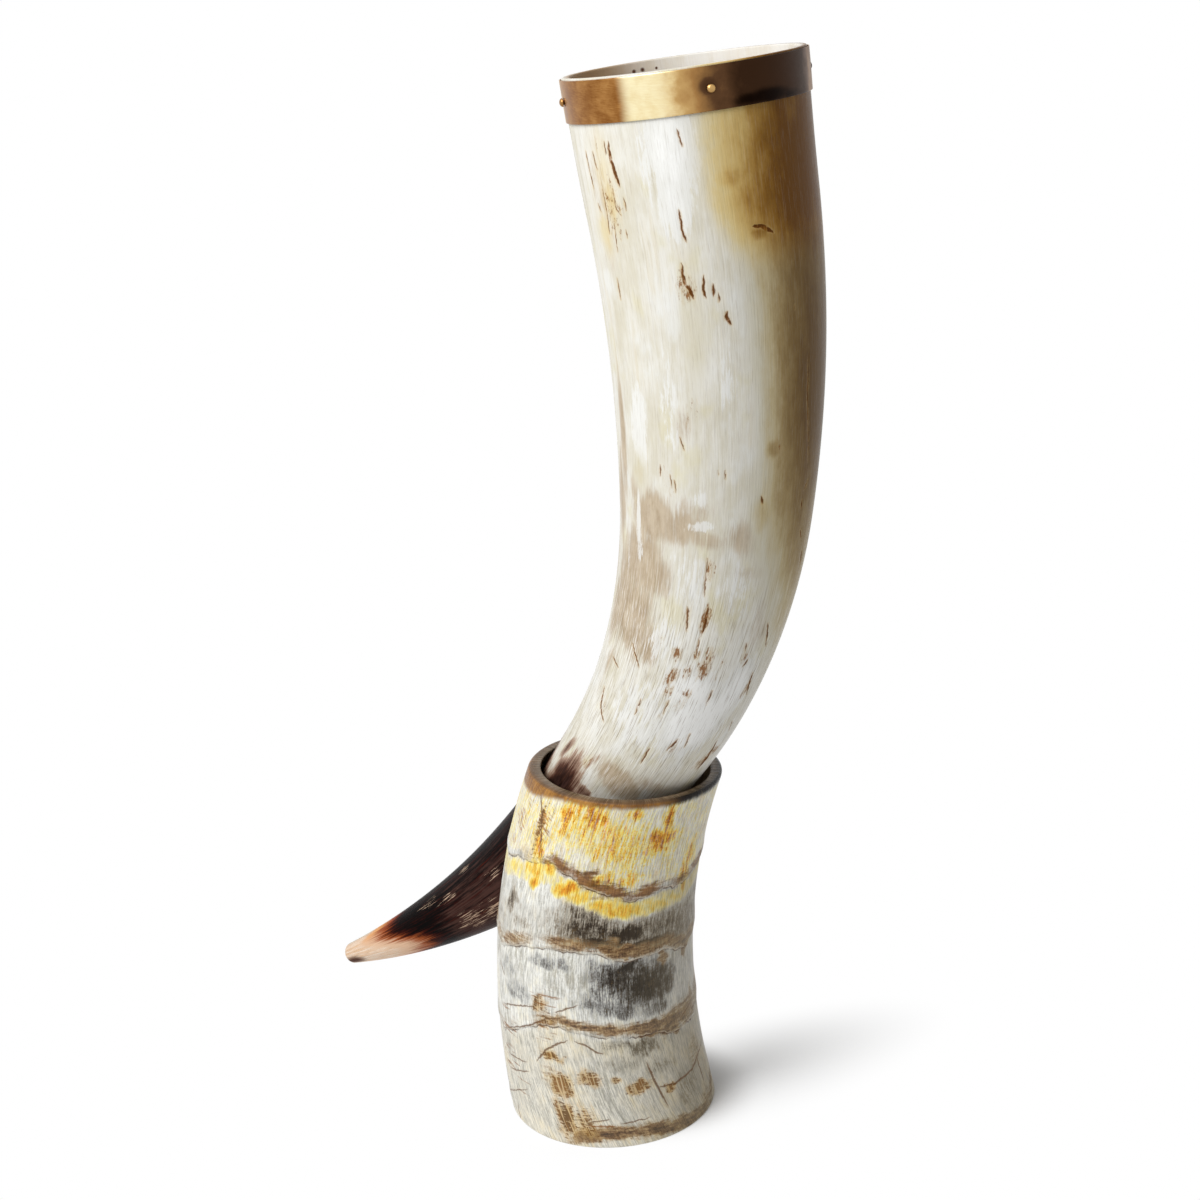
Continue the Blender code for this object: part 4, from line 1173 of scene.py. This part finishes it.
relief, zones = stand_zones(turn_grid, height_grid)
print({name: round(float(value.mean()), 2) for name, value in zones.items()})

# %% Stand mesh, cut to the horn
END_FADE = 6.0 * MM
SEAT_ROWS = 160
SEAT_COLUMNS = 128
SEAT_START = 0.5 * MM
SEAT_END = 300.0 * MM

ends = smooth_step(height_grid, 0.0, END_FADE)
ends = ends * (1.0 - smooth_step(height_grid, STAND_HEIGHT - END_FADE, STAND_HEIGHT - STAND_LIP_ROUND))
stand_grid = stand_base + (relief * ends * wall)[..., None] * stand_outward
stand = new_piece(
    "horn_stand", stand_grid, grid_faces(len(stand_heights), STAND_COLUMNS, closed_rows=True))

seat_along, seat_turn = np.meshgrid(
    np.linspace(SEAT_START, SEAT_END, SEAT_ROWS), ring_turns(SEAT_COLUMNS), indexing="ij")
seat_points, _ = horn_points(seat_along, horn_radius(seat_along) + CLEARANCE, seat_turn)
seat = new_piece("horn_room", seat_points, capped_faces(SEAT_ROWS, SEAT_COLUMNS))

cut = stand.modifiers.new("side_hole", "BOOLEAN")
cut.operation = "DIFFERENCE"
cut.solver = "EXACT"
cut.object = seat
bpy.context.view_layer.update()
cut_mesh = bpy.data.meshes.new_from_object(stand.evaluated_get(bpy.context.evaluated_depsgraph_get()))
stand.modifiers.clear()
stand.data = cut_mesh
cut_mesh.name = "horn_stand"
bpy.data.objects.remove(seat)
print("stand:", len(cut_mesh.polygons), "faces after the cut")

# %% Worn edge of the hole, and values for the stand's finish
WORN_WIDTH = 1.4 * MM
WORN_DEPTH = 0.6 * MM
WORN_REACH = -1.0 * MM
WORN_TOP = 0.9 * STAND_HEIGHT
OUTER_REACH = (-2.2 * MM, -1.2 * MM)
SHARP_ANGLE = math.radians(40.0)
CROWN_DROP = 4.0 * MM
CROWN_BELOW = (5.0 * MM, 0.4 * MM)
FLAT_TOP_BELOW = (0.9 * MM, 0.2 * MM)
FOOT_TILT = 8.7
TILT_HEIGHT = 70.0 * MM

places = np.empty(len(cut_mesh.vertices) * 3)
cut_mesh.vertices.foreach_get("co", places)
places = places.reshape(-1, 3)
height = np.clip(places[:, 2], 0.0, STAND_HEIGHT)
radius = stand_share(height, STAND_RADII)
oval = radius / stand_share(height, STAND_DEPTHS)
sideways = places[:, 0] - stand_centre(height)
turn = np.arctan2(places[:, 1] * oval, sideways)
reach = np.hypot(sideways, places[:, 1] * oval) - radius
outer = smooth_step(reach, *OUTER_REACH)

from_axis = np.hypot(places[:, 0] - lift[0], places[:, 2] - lift[2]) - LOWER_BEND
bearing = np.arctan2(places[:, 0] - lift[0], lift[2] - places[:, 2])
hole_gap = np.hypot(from_axis, places[:, 1]) - horn_radius((bearing - TIP_HEADING) * LOWER_BEND) - CLEARANCE
worn_edge = np.clip(1.0 - hole_gap / WORN_WIDTH, 0.0, 1.0) ** 2
worn_edge = worn_edge * (reach > WORN_REACH) * (height < WORN_TOP)
way_in = np.stack((np.cos(bearing), np.zeros_like(bearing), np.sin(bearing)), axis=-1)
places = places + (WORN_DEPTH * worn_edge)[:, None] * way_in
cut_mesh.vertices.foreach_set("co", places.ravel())
cut_mesh.set_sharp_from_angle(angle=SHARP_ANGLE)
cut_mesh.update()

_, zones = stand_zones(turn, height)
crown_drop = CROWN_DROP * window(np.degrees(turn - FRONT), -120.0, -55.0, 18.0)
tilt = FOOT_TILT * np.maximum(TILT_HEIGHT - height, 0.0) ** 2 / (2.0 * TILT_HEIGHT)
grain_turn = turn - tilt
flat_turn = (grain_turn - FRONT + math.pi) % (2 * math.pi) - math.pi
for number, name in enumerate(LINE_LAYERS):
    zones[name] = stand_skin.strokes(turn, height, stand_lines[number::len(LINE_LAYERS)])
hang_values(
    stand,
    grain=np.stack((GRAIN_RADIUS * np.cos(grain_turn), GRAIN_RADIUS * np.sin(grain_turn), height), axis=-1),
    unrolled=np.stack((GRAIN_RADIUS * flat_turn, height, np.zeros_like(height)), axis=-1),
    outer=outer,
    crown=smooth_step(height + crown_drop, *(STAND_HEIGHT - below for below in CROWN_BELOW)),
    flat_top=smooth_step(height, *(STAND_HEIGHT - below for below in FLAT_TOP_BELOW)),
    # A painted highlight along the lip's inner edge.
    inner_edge=hump(reach + STAND_WALL - 0.5 * MM, 0.0, 0.4) * (height > STAND_HEIGHT - 1.0 * MM),
    **zones,
)
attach(stand, "stand")
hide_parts("stand")
print(int((worn_edge > 0).sum()), "points worn round the hole")

# %% Brushed horn of the stand
stand_finish, stand_shader, start = new_finish("stand_horn")
fibre_space = start.vector("grain")
flat_space = start.vector("unrolled")
brush = fibre_space.stretched(1, 1, 0.09).noise(2300.0, 3.0, 0.65)
broad = fibre_space.stretched(1, 1, 0.20).noise(560.0, 4.0, 0.65)
cloud = fibre_space.stretched(1, 1, 0.7).noise(85.0, 4.0, 0.6)
grit = fibre_space.stretched(1, 1, 0.7).noise(1500.0, 3.0, 0.7)
flake = flat_space.stretched(0.25, 1, 1).noise(620.0, 4.0, 0.7)
tick = flat_space.stretched(0.5, 1.4, 1).noise(1000.0, 3.0, 0.65)
patchy = flat_space.stretched(0.7, 1, 1).noise(260.0, 3.0, 0.6)
fray = 0.9 * brush + 0.8 * broad + 0.5 * grit

above_top, above_middle, above_low = start.vector("ridges").parts()
upper = above_top.step(0.0, 4.0)
amber = start["amber"]
shade = amber.step(0.08, 0.22).mix((178, 173, 157), (226, 204, 152))
colour = (0.9 * cloud + 0.9 * fray).step(-0.36, 0.14).mix(shade, (245, 245, 239))
colour = (0.5 * (cloud + 0.5 * broad).step(0.0, 0.2)).mix(colour, (232, 222, 190))
below_low = 1.0 - above_low.step(-4.0, 0.0)
colour = (0.55 * below_low * (cloud + 0.5 * fray).step(-0.25, 0.25)).mix(colour, (222, 204, 160))
streak = flat_space.stretched(1, 0.10, 1).noise(1000.0, 3.0, 0.65)
ruffle = 0.6 * fray + 0.5 * cloud + (0.4 * fray + 0.4 * tick + 1.1 * streak) * upper
amber_depth = 1.06 * amber - 0.05 * upper + 1.2 * ruffle * amber.step(0.03, 0.25)
amber_colour = amber_depth.ramp(
    (0.10, (249, 245, 226)), (0.32, (251, 236, 164)), (0.52, (252, 212, 86)),
    (0.70, (224, 140, 30)), (0.92, (124, 62, 14)))
colour = amber_depth.step(0.10, 0.30).mix(colour, amber_colour)
colour = (0.55 * upper * (brush + 0.7 * broad).step(0.06, 0.18)).mix(colour, (252, 248, 234))

grey = start["grey"]
grey_grain = 1.5 * brush + 1.1 * broad + 1.0 * grit
grey_depth = grey + grey_grain * grey.step(0.02, 0.6) + (0.9 * cloud + 1.3 * patchy) * grey
grey_colour = grey_depth.ramp(
    (0.2, (206, 207, 205)), (0.45, (156, 155, 152)), (0.75, (94, 88, 80)), (1.0, (46, 39, 33)))
band_grey = grey_depth.step(0.35, 0.9).mix((176, 160, 134), (54, 40, 24))
foot_grey = grey_depth.step(0.3, 0.9).mix((176, 167, 146), (96, 84, 64))
grey_colour = (0.6 * above_middle.step(1.0, 5.0)).mix(grey_colour, band_grey)
grey_colour = (0.8 * below_low).mix(grey_colour, foot_grey)
colour = grey_depth.step(0.12, 0.50).mix(colour, grey_colour)

brown = start["brown"]
brown_depth = brown + (1.0 * flake + 0.5 * grit + 0.4 * cloud) * brown.step(0.02, 0.3)
brown_colour = (0.45 * brown_depth + 0.22 + 1.3 * flake + 0.5 * grit).ramp(
    (0.15, (206, 184, 142)), (0.40, (170, 138, 96)), (0.60, (124, 92, 60)), (0.85, (66, 44, 28)))
top_brown = flake.step(-0.2, 0.2).mix((158, 104, 44), (98, 60, 22))
brown_colour = (0.9 * above_top.step(-1.5, 0.0)).mix(brown_colour, top_brown)
colour = (0.95 * brown_depth.step(0.08, 0.56)).mix(colour, brown_colour)
colour = (start["shaded"] * (0.44 + 0.14 * below_low - 0.38 * upper)).mix(colour, (146, 132, 104))
thread = fibre_space.stretched(1, 1, 0.10).noise(1750.0, 2.0, 0.7)
colour = colour.scaled(1.13 - 0.36 * thread.step(-0.12, 0.14))

# %% Ridge lines, scratches and hatching of the stand
SLANT = math.radians(28.0)

wander = flat_space.noise(330.0, 3.0, 0.6)
breaks = flat_space.stretched(1, 0.3, 1).noise(120.0, 2.0).step(-0.12, 0.06)
# Under each ridge edge: a painted highlight line, and just below it a painted shadow line.
crest = 0.0
cleft = 0.0
for rise in start.vector("ridges").parts():
    crest = (1.0 - ((rise + 0.40 + 2.2 * wander).size() - 0.30).step(-0.2, 0.2)).most(crest)
    cleft = (1.0 - ((rise + 1.05 + 2.4 * wander).size() - 0.26).step(-0.2, 0.2)).most(cleft)
column = flat_space.stretched(1, 0.05, 1).noise(520.0, 2.0).size().step(0.012, 0.05)
dash = flat_space.stretched(0.30, 1, 1).noise(1300.0, 2.0, 0.5)
hatched = start["hatched"]
hatch = (dash + 0.5 * grit + 0.5 * tick + 0.48 * hatched).step(0.22, 0.38) * column * hatched.step(0.02, 0.30)
slant_space = start.add("VectorRotate", {"rotation_type": "Z_AXIS"}, {"Vector": flat_space, "Angle": SLANT})
slanted = start["slanted"]
slant = slant_space.stretched(0.16, 1, 1).noise(1150.0, 2.0, 0.55)
slant = (slant + 0.3 * grit + 0.16 * slanted).step(0.10, 0.22) * (slanted + 0.6 * broad).step(0.12, 0.5)
wrinkled = start["wrinkled"]
crease = flat_space.stretched(0.07, 1, 1).noise(750.0, 3.0, 0.6)
wrinkle = (crease + 0.35 * tick + 0.12 * wrinkled).step(0.12, 0.24) * (wrinkled + 0.5 * broad).step(0.1, 0.6)
speck = (flat_space.noise(1500.0, 2.0, 0.6) + 0.10 * start["speckled"]).step(0.20, 0.28)
speck = speck * start["speckled"].step(0.1, 0.6)
line = start.drawn(LINE_LAYERS, 1.4 * wander + 0.8 * tick, 0.20)
line_halo = start.drawn(LINE_LAYERS, 3.0 * grit, 1.0) * (tick + grit).step(-0.15, 0.15)

colour = (0.75 * (hatched + 0.9 * fray + 0.5 * tick).step(0.05, 0.85)).mix(colour, (210, 174, 112))
colour = (0.78 * slant).mix(colour, broad.step(-0.15, 0.15).mix((150, 92, 40), (206, 146, 70)))
colour = (0.85 * hatch).mix(colour, broad.step(-0.15, 0.15).mix((92, 58, 26), (136, 92, 44)))
colour = (0.80 * wrinkle).mix(colour, (146, 96, 44))
colour = (0.75 * speck).mix(colour, (150, 104, 54))
# Painted highlight under each ridge edge, then a painted shadow line below it.
colour = (0.70 * breaks * crest).mix(colour, (206, 190, 166))
colour = (0.85 * breaks * cleft).mix(colour, (94, 66, 46))
colour = (0.40 * line_halo).mix(colour, (180, 146, 100))
colour = (0.80 * line).mix(colour, (112, 78, 46))

# %% Lip, bore and gloss of the stand
lip_colour = (cloud + fray).step(-0.3, 0.3).mix((112, 70, 28), (186, 134, 66))
flat_lip = (cloud + fray).step(-0.3, 0.3).mix((88, 64, 42), (134, 104, 74))
lip_colour = start["flat_top"].mix(lip_colour, flat_lip)
# Painted shade: the lip goes nearly black on its right side.
lip_colour = (start["dark_lip"] + 0.4 * fray).step(0.1, 0.8).mix(lip_colour, (22, 16, 11))
# Painted highlight: a thin pale line along the lip's inner edge.
lip_colour = (0.8 * (start["inner_edge"] + 0.8 * fray).step(0.3, 0.7)).mix(lip_colour, (206, 194, 174))
colour = (start["crown"] + 0.7 * fray).step(0.15, 0.95).mix(colour, lip_colour)
bore_colour = (cloud + fray).step(-0.3, 0.3).mix((92, 76, 58), (140, 120, 94))
colour = start["outer"].mix(bore_colour, colour)
fine_relief = 0.6 * brush + 0.4 * broad + 0.5 * grit - 0.5 * (hatch + slant)
fine_relief = fine_relief - 0.6 * line - 0.6 * cleft + 0.3 * crest + 1.5 * flake * brown.step(0.1, 0.5)
bump = start.add("Bump", {}, {"Strength": 0.5, "Distance": 0.0006, "Height": fine_relief})
gloss = 0.36 + 0.25 * brush + 0.2 * hatch - 0.10 * start["crown"]
feed(stand_shader, Base_Color=colour, Roughness=gloss, Normal=bump, Specular_IOR_Level=0.14)
stand.data.materials.clear()
stand.data.materials.append(stand_finish)
print("stand horn:", len(stand_finish.node_tree.nodes), "nodes")

# %% [markdown]
# The rim is a thin strip of satin brass, a little tarnished, held by four domed nails. Its brown right side
# and orange-brown left side are partly tarnish and copper tone, and partly painted reflection of dimmer
# surroundings.
# Its section is a slim rounded bar carried round the collar. Four nails are turned from one profile.

# %% Brass strip
BAND_HEIGHT = 15.5 * MM
BAND_THICKNESS = 0.5 * MM
BAND_BELOW_LIP = 0.6 * MM
BAND_EDGE = 0.2 * MM
BAND_COLUMNS = 256
BAND_SIDE_ROWS = 24
BAND_EDGE_ROWS = 5
BAND_DENTS = 0.04 * MM
BAND_INSET = 0.08 * MM

edge = np.linspace(0.0, math.pi, BAND_EDGE_ROWS + 2)[1:-1]
section_up = np.concatenate((
    np.linspace(0.0, 1.0, BAND_SIDE_ROWS), np.ones(BAND_EDGE_ROWS),
    np.linspace(1.0, 0.0, BAND_SIDE_ROWS), np.zeros(BAND_EDGE_ROWS)))
section_out = np.concatenate((
    np.ones(BAND_SIDE_ROWS), 0.5 + 0.5 * np.cos(edge), np.zeros(BAND_SIDE_ROWS), 0.5 - 0.5 * np.cos(edge)))
section_past = BAND_EDGE * np.concatenate((
    np.zeros(BAND_SIDE_ROWS), np.sin(edge), np.zeros(BAND_SIDE_ROWS), -np.sin(edge)))
band_top = HORN_LENGTH - BAND_BELOW_LIP - BAND_EDGE
band_low = HORN_LENGTH - BAND_BELOW_LIP - BAND_HEIGHT + BAND_EDGE
section_length = band_low + (band_top - band_low) * section_up + section_past
band_along, band_around = np.meshgrid(section_length, ring_turns(BAND_COLUMNS), indexing="ij")
dents = BAND_DENTS * soft_waves(band_around, band_along, 21, 0.004)
band_radius = horn_radius(band_along) + CLEARANCE + section_out[:, None] * BAND_THICKNESS
band_radius = band_radius + (dents - BAND_INSET) * section_out[:, None]
band_points, band_outward = horn_points(band_along, band_radius, band_around)
band = new_piece(
    "brass_band", band_points, grid_faces(len(section_up), BAND_COLUMNS, closed_rows=True))
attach(band, "horn")
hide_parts("rim_band")
band_skin = Unrolled(
    band_points[:BAND_SIDE_ROWS].reshape(-1, 3), band_outward[:BAND_SIDE_ROWS].reshape(-1, 3),
    band_around[:BAND_SIDE_ROWS].ravel(), band_along[:BAND_SIDE_ROWS].ravel(), horn_radius)
print("band:", len(band.data.polygons), "faces")

# %% Nails
NAIL_TURN = -50.3
NAIL_HEAD_RADIUS = 1.6 * MM
NAIL_HEAD_HEIGHT = 1.2 * MM
NAIL_UNDER_RADIUS = 0.96 * NAIL_HEAD_RADIUS
NAIL_SINK = 0.05 * MM
NAIL_SHANK_RADIUS = 0.8 * MM
NAIL_POINT_RADIUS = 0.2 * MM
NAIL_DOME = (0.12, math.pi / 2, 12)
NAIL_COLUMNS = 32
# Browning of each nail: partly tarnish and partly painted dark reflection, strongest on the right-hand nail.
NAIL_BROWNING = {"front": 0.24, "right": 0.85, "back": 0.40, "left": 0.36}

nail_length = HORN_LENGTH - BAND_BELOW_LIP - BAND_HEIGHT / 2
nail_seat = horn_radius(nail_length) + BAND_THICKNESS + 2 * CLEARANCE
nail_end = hollow_radius(nail_length) - nail_seat
dome = np.linspace(*NAIL_DOME)
nail_across = np.concatenate((
    NAIL_HEAD_RADIUS * np.sin(dome),
    (NAIL_UNDER_RADIUS, NAIL_SHANK_RADIUS, NAIL_SHANK_RADIUS, NAIL_POINT_RADIUS)))
nail_out = np.concatenate((NAIL_HEAD_HEIGHT * np.cos(dome), (-NAIL_SINK, -NAIL_SINK, nail_end, nail_end)))


def nail_points(turn):
    """The nail's profile turned round its own axis, which points out of the horn at the given angle."""
    foot, outward = horn_points(np.array([nail_length]), np.array([nail_seat]), np.array([turn]))
    ahead = horn_frame(np.array([HORN_LENGTH]))[0] - horn_frame(np.array([HORN_LENGTH - COLLAR_LENGTH]))[0]
    ahead = ahead / np.linalg.norm(ahead)
    side = np.cross(ahead, outward)
    spin = ring_turns(NAIL_COLUMNS)
    ring = np.cos(spin)[:, None] * ahead + np.sin(spin)[:, None] * side
    return foot + nail_across[:, None, None] * ring + nail_out[:, None, None] * outward


nails = []
for number, (place, browning) in enumerate(NAIL_BROWNING.items()):
    points = nail_points(math.radians(NAIL_TURN + 360.0 / len(NAIL_BROWNING) * number))
    nail = new_piece("brass_nail_" + place, points, capped_faces(len(nail_across), NAIL_COLUMNS))
    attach(nail, "horn")
    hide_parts("rim_nail_" + place)
    hang_values(nail, browned=np.full(len(nail.data.vertices), browning))
    nails.append(nail)
print(len(nails), "nails")

# %% Satin brass
# Browner patches on the strip: tarnish, and towards its right also painted dark reflection.
BAND_BROWNED = (
    (752, 75, 14, 30, 0.9), (775, 72, 13, 30, 1), (794, 70, 16, 30, 0.9), (808, 68, 16, 30, 0.52),
    (728, 82, 14, 30, 0.62), (703, 88, 13, 30, 0.27), (711, 86, 5, 5, 0.75),
)
# Near-black patches low on the right of the strip.
BAND_BLACKENED = (
    (770, 95, 10, 3, 1), (752, 98, 7, 2.4, 0.8), (790, 92, 6, 2, 0.6),
)
BAND_BACK = (60, 195)
BAND_LENGTHS = (460, 475)
# Orange-brown at the left of the strip is painted dim reflection; the seeded patches round the back give a
# copper tone.
BAND_COPPERY = (
    (562, 96, 16, 30, 1), (580, 100, 16, 30, 1), (600, 100, 10, 30, 0.85),
)

browned = band_skin.patches_at(BAND_BROWNED) + scattered_patches(
    41, 6, BAND_BACK, BAND_LENGTHS, (14, 28), (20, 30), (0.25, 0.6))
coppery = band_skin.patches_at(BAND_COPPERY) + scattered_patches(
    42, 4, BAND_BACK, BAND_LENGTHS, (14, 26), (20, 30), (0.2, 0.5))
hang_values(
    band,
    browned=band_skin.clouds(band_around, band_along, browned).ravel(),
    blackened=band_skin.clouds(band_around, band_along, band_skin.patches_at(BAND_BLACKENED)).ravel(),
    coppery=band_skin.clouds(band_around, band_along, coppery).ravel(),
)
brass_finish, brass_shader, start = new_finish("satin_brass")
space = start.add("TexCoord", {}, {}, "Object")
grime = space.noise(160.0, 4.0, 0.6)
scratch = space.stretched(0.12, 0.12, 1).noise(2600.0, 2.0, 0.6)
colour = (grime + 0.5 * scratch).step(-0.25, 0.25).mix((240, 220, 168), (250, 239, 198))
# Orange-brown: painted dim reflection at the left, copper tone round the back.
copper = (grime + 0.6 * scratch).step(-0.25, 0.25).mix((140, 90, 42), (176, 126, 70))
colour = (start["coppery"] + 0.2 * grime).step(0.08, 0.62).mix(colour, copper)
# Browning: partly tarnish, partly painted dark reflection.
browning = start["browned"] + 0.3 * grime
brown = browning.ramp(
    (0.10, (216, 180, 118)), (0.34, (164, 122, 72)), (0.60, (92, 64, 42)), (0.85, (54, 35, 22)))
colour = browning.step(0.02, 0.22).mix(colour, brown)
colour = (0.9 * (start["blackened"] + 0.7 * grime).step(0.1, 0.9)).mix(colour, (8, 3, 2))
bump = start.add("Bump", {}, {"Strength": 0.12, "Distance": 0.0003, "Height": scratch})
gloss = 0.32 + 0.2 * grime + 0.1 * scratch + 0.15 * start["browned"]
feed(brass_shader, Base_Color=colour, Metallic=1.0, Roughness=gloss, Normal=bump)
for piece in (band, *nails):
    piece.data.materials.append(brass_finish)
print("brass:", len(brass_finish.node_tree.nodes), "nodes")

# %% [markdown]
# The photograph was taken on a white table with a big soft light at the left. A white background needs no
# more light on the object: the world and the far table are plain white where the camera or a
# reflection sees them, and dimmer where they light things. Near the object the table keeps its shadow.

# %% Floor
FLOOR_SIZE = 8.0
WHITE = (1.0, 1.0, 1.0, 1.0)
BLACK = (0.0, 0.0, 0.0, 1.0)
FLOOR_LIFT = (0.14, 0.14, 0.14, 1.0)
SHADOW_HEADING = math.radians(63.0)
SHADOW_CENTRE = (FOOT_X + 0.046, -0.014, 0.0)
SHADOW_HALF_SIZE = (0.132, 0.046)
SHADOW_FADE = (-0.2, 0.95)
CONTACT_CENTRE = (FOOT_X + 0.009, 0.012, 0.0)
CONTACT_REACH = (0.026, 0.050)
UNDER_STAND = (0.026, 0.034)

corner = np.array((-1.0, 1.0)) * FLOOR_SIZE / 2
floor_x, floor_y = np.meshgrid(corner, corner, indexing="ij")
floor_points = np.stack((floor_x, floor_y, np.zeros_like(floor_x)), axis=-1)
floor = new_piece("floor", floor_points, [(0, 2, 3, 1)])


def rays_that_see(start):
    """1 for rays from the camera, from a reflection or through glass, and 0 for rays of light."""
    names = ("Is Camera Ray", "Is Glossy Ray", "Is Transmission Ray")
    direct, glossy, through = (start.add("LightPath", {}, {}, name) for name in names)
    return direct.most(glossy).most(through)


floor_finish, floor_shader, start = new_finish("white_table")
place = start.add("TexCoord", {}, {}, "Object")
from_contact, from_foot = (
    start.add("VectorMath", {"operation": "DISTANCE"}, {0: place, 1: centre}, "Value")
    for centre in (CONTACT_CENTRE, (FOOT_X, 0.0, 0.0)))
laid = start.add("VectorRotate", {"rotation_type": "Z_AXIS"}, {
    "Vector": place, "Center": (FOOT_X, 0.0, 0.0), "Angle": -SHADOW_HEADING})
laid = start.add("VectorMath", {"operation": "SUBTRACT"}, {0: laid, 1: SHADOW_CENTRE})
laid = laid.stretched(1.0 / SHADOW_HALF_SIZE[0], 1.0 / SHADOW_HALF_SIZE[1], 0.0)
from_shadow = start.add("VectorMath", {"operation": "LENGTH"}, {0: laid}, "Value")
seen = rays_that_see(start) * from_foot.step(*UNDER_STAND) * from_contact.step(*CONTACT_REACH)
lifted = start.add("Mix", {"data_type": "RGBA"}, {0: seen, 6: BLACK, 7: FLOOR_LIFT}, 2)
feed(floor_shader, Base_Color=paint((248, 248, 248)), Roughness=0.7, Specular_IOR_Level=0.0,
     Emission_Color=lifted, Emission_Strength=1.0)
white = start.add("Emission", {}, {"Color": WHITE, "Strength": 1.0})
far = seen * from_shadow.step(*SHADOW_FADE)
both = start.add("MixShader", {}, {0: far, 1: Wire(start.tree, floor_shader.outputs[0]), 2: white})
feed(floor_finish.node_tree.nodes["Material Output"], Surface=both)
floor.data.materials.append(floor_finish)
print("the shadow fades to white over an oval of half", *SHADOW_HALF_SIZE, "m")

# %% Light and background
SKY = 0.28
KEY_POWER = 19.6
KEY_SIZE = 0.9
KEY_AWAY = 1.5
KEY_SIDE = math.radians(-24.0)
KEY_RISE = math.radians(45.0)
KEY_AIM = (FOOT_X, 0.0, 0.2)

scene = bpy.context.scene
scene.view_settings.view_transform = "Standard"
world = bpy.data.worlds.new("studio")
scene.world = world
world.use_nodes = True
sky = SKY + (1.0 - SKY) * rays_that_see(Wire(world.node_tree))
feed(world.node_tree.nodes["Background"], Color=WHITE, Strength=sky)

lamp = bpy.data.objects.new("softbox", bpy.data.lights.new("softbox", "AREA"))
lamp.data.energy = KEY_POWER
lamp.data.size = KEY_SIZE
towards = Vector((
    math.sin(KEY_SIDE) * math.cos(KEY_RISE), -math.cos(KEY_SIDE) * math.cos(KEY_RISE), math.sin(KEY_RISE)))
lamp.location = Vector(KEY_AIM) + KEY_AWAY * towards
lamp.rotation_euler = (-towards).to_track_quat("-Z", "Y").to_euler()
scene.collection.objects.link(lamp)
print("one softbox of", lamp.data.energy, "W")
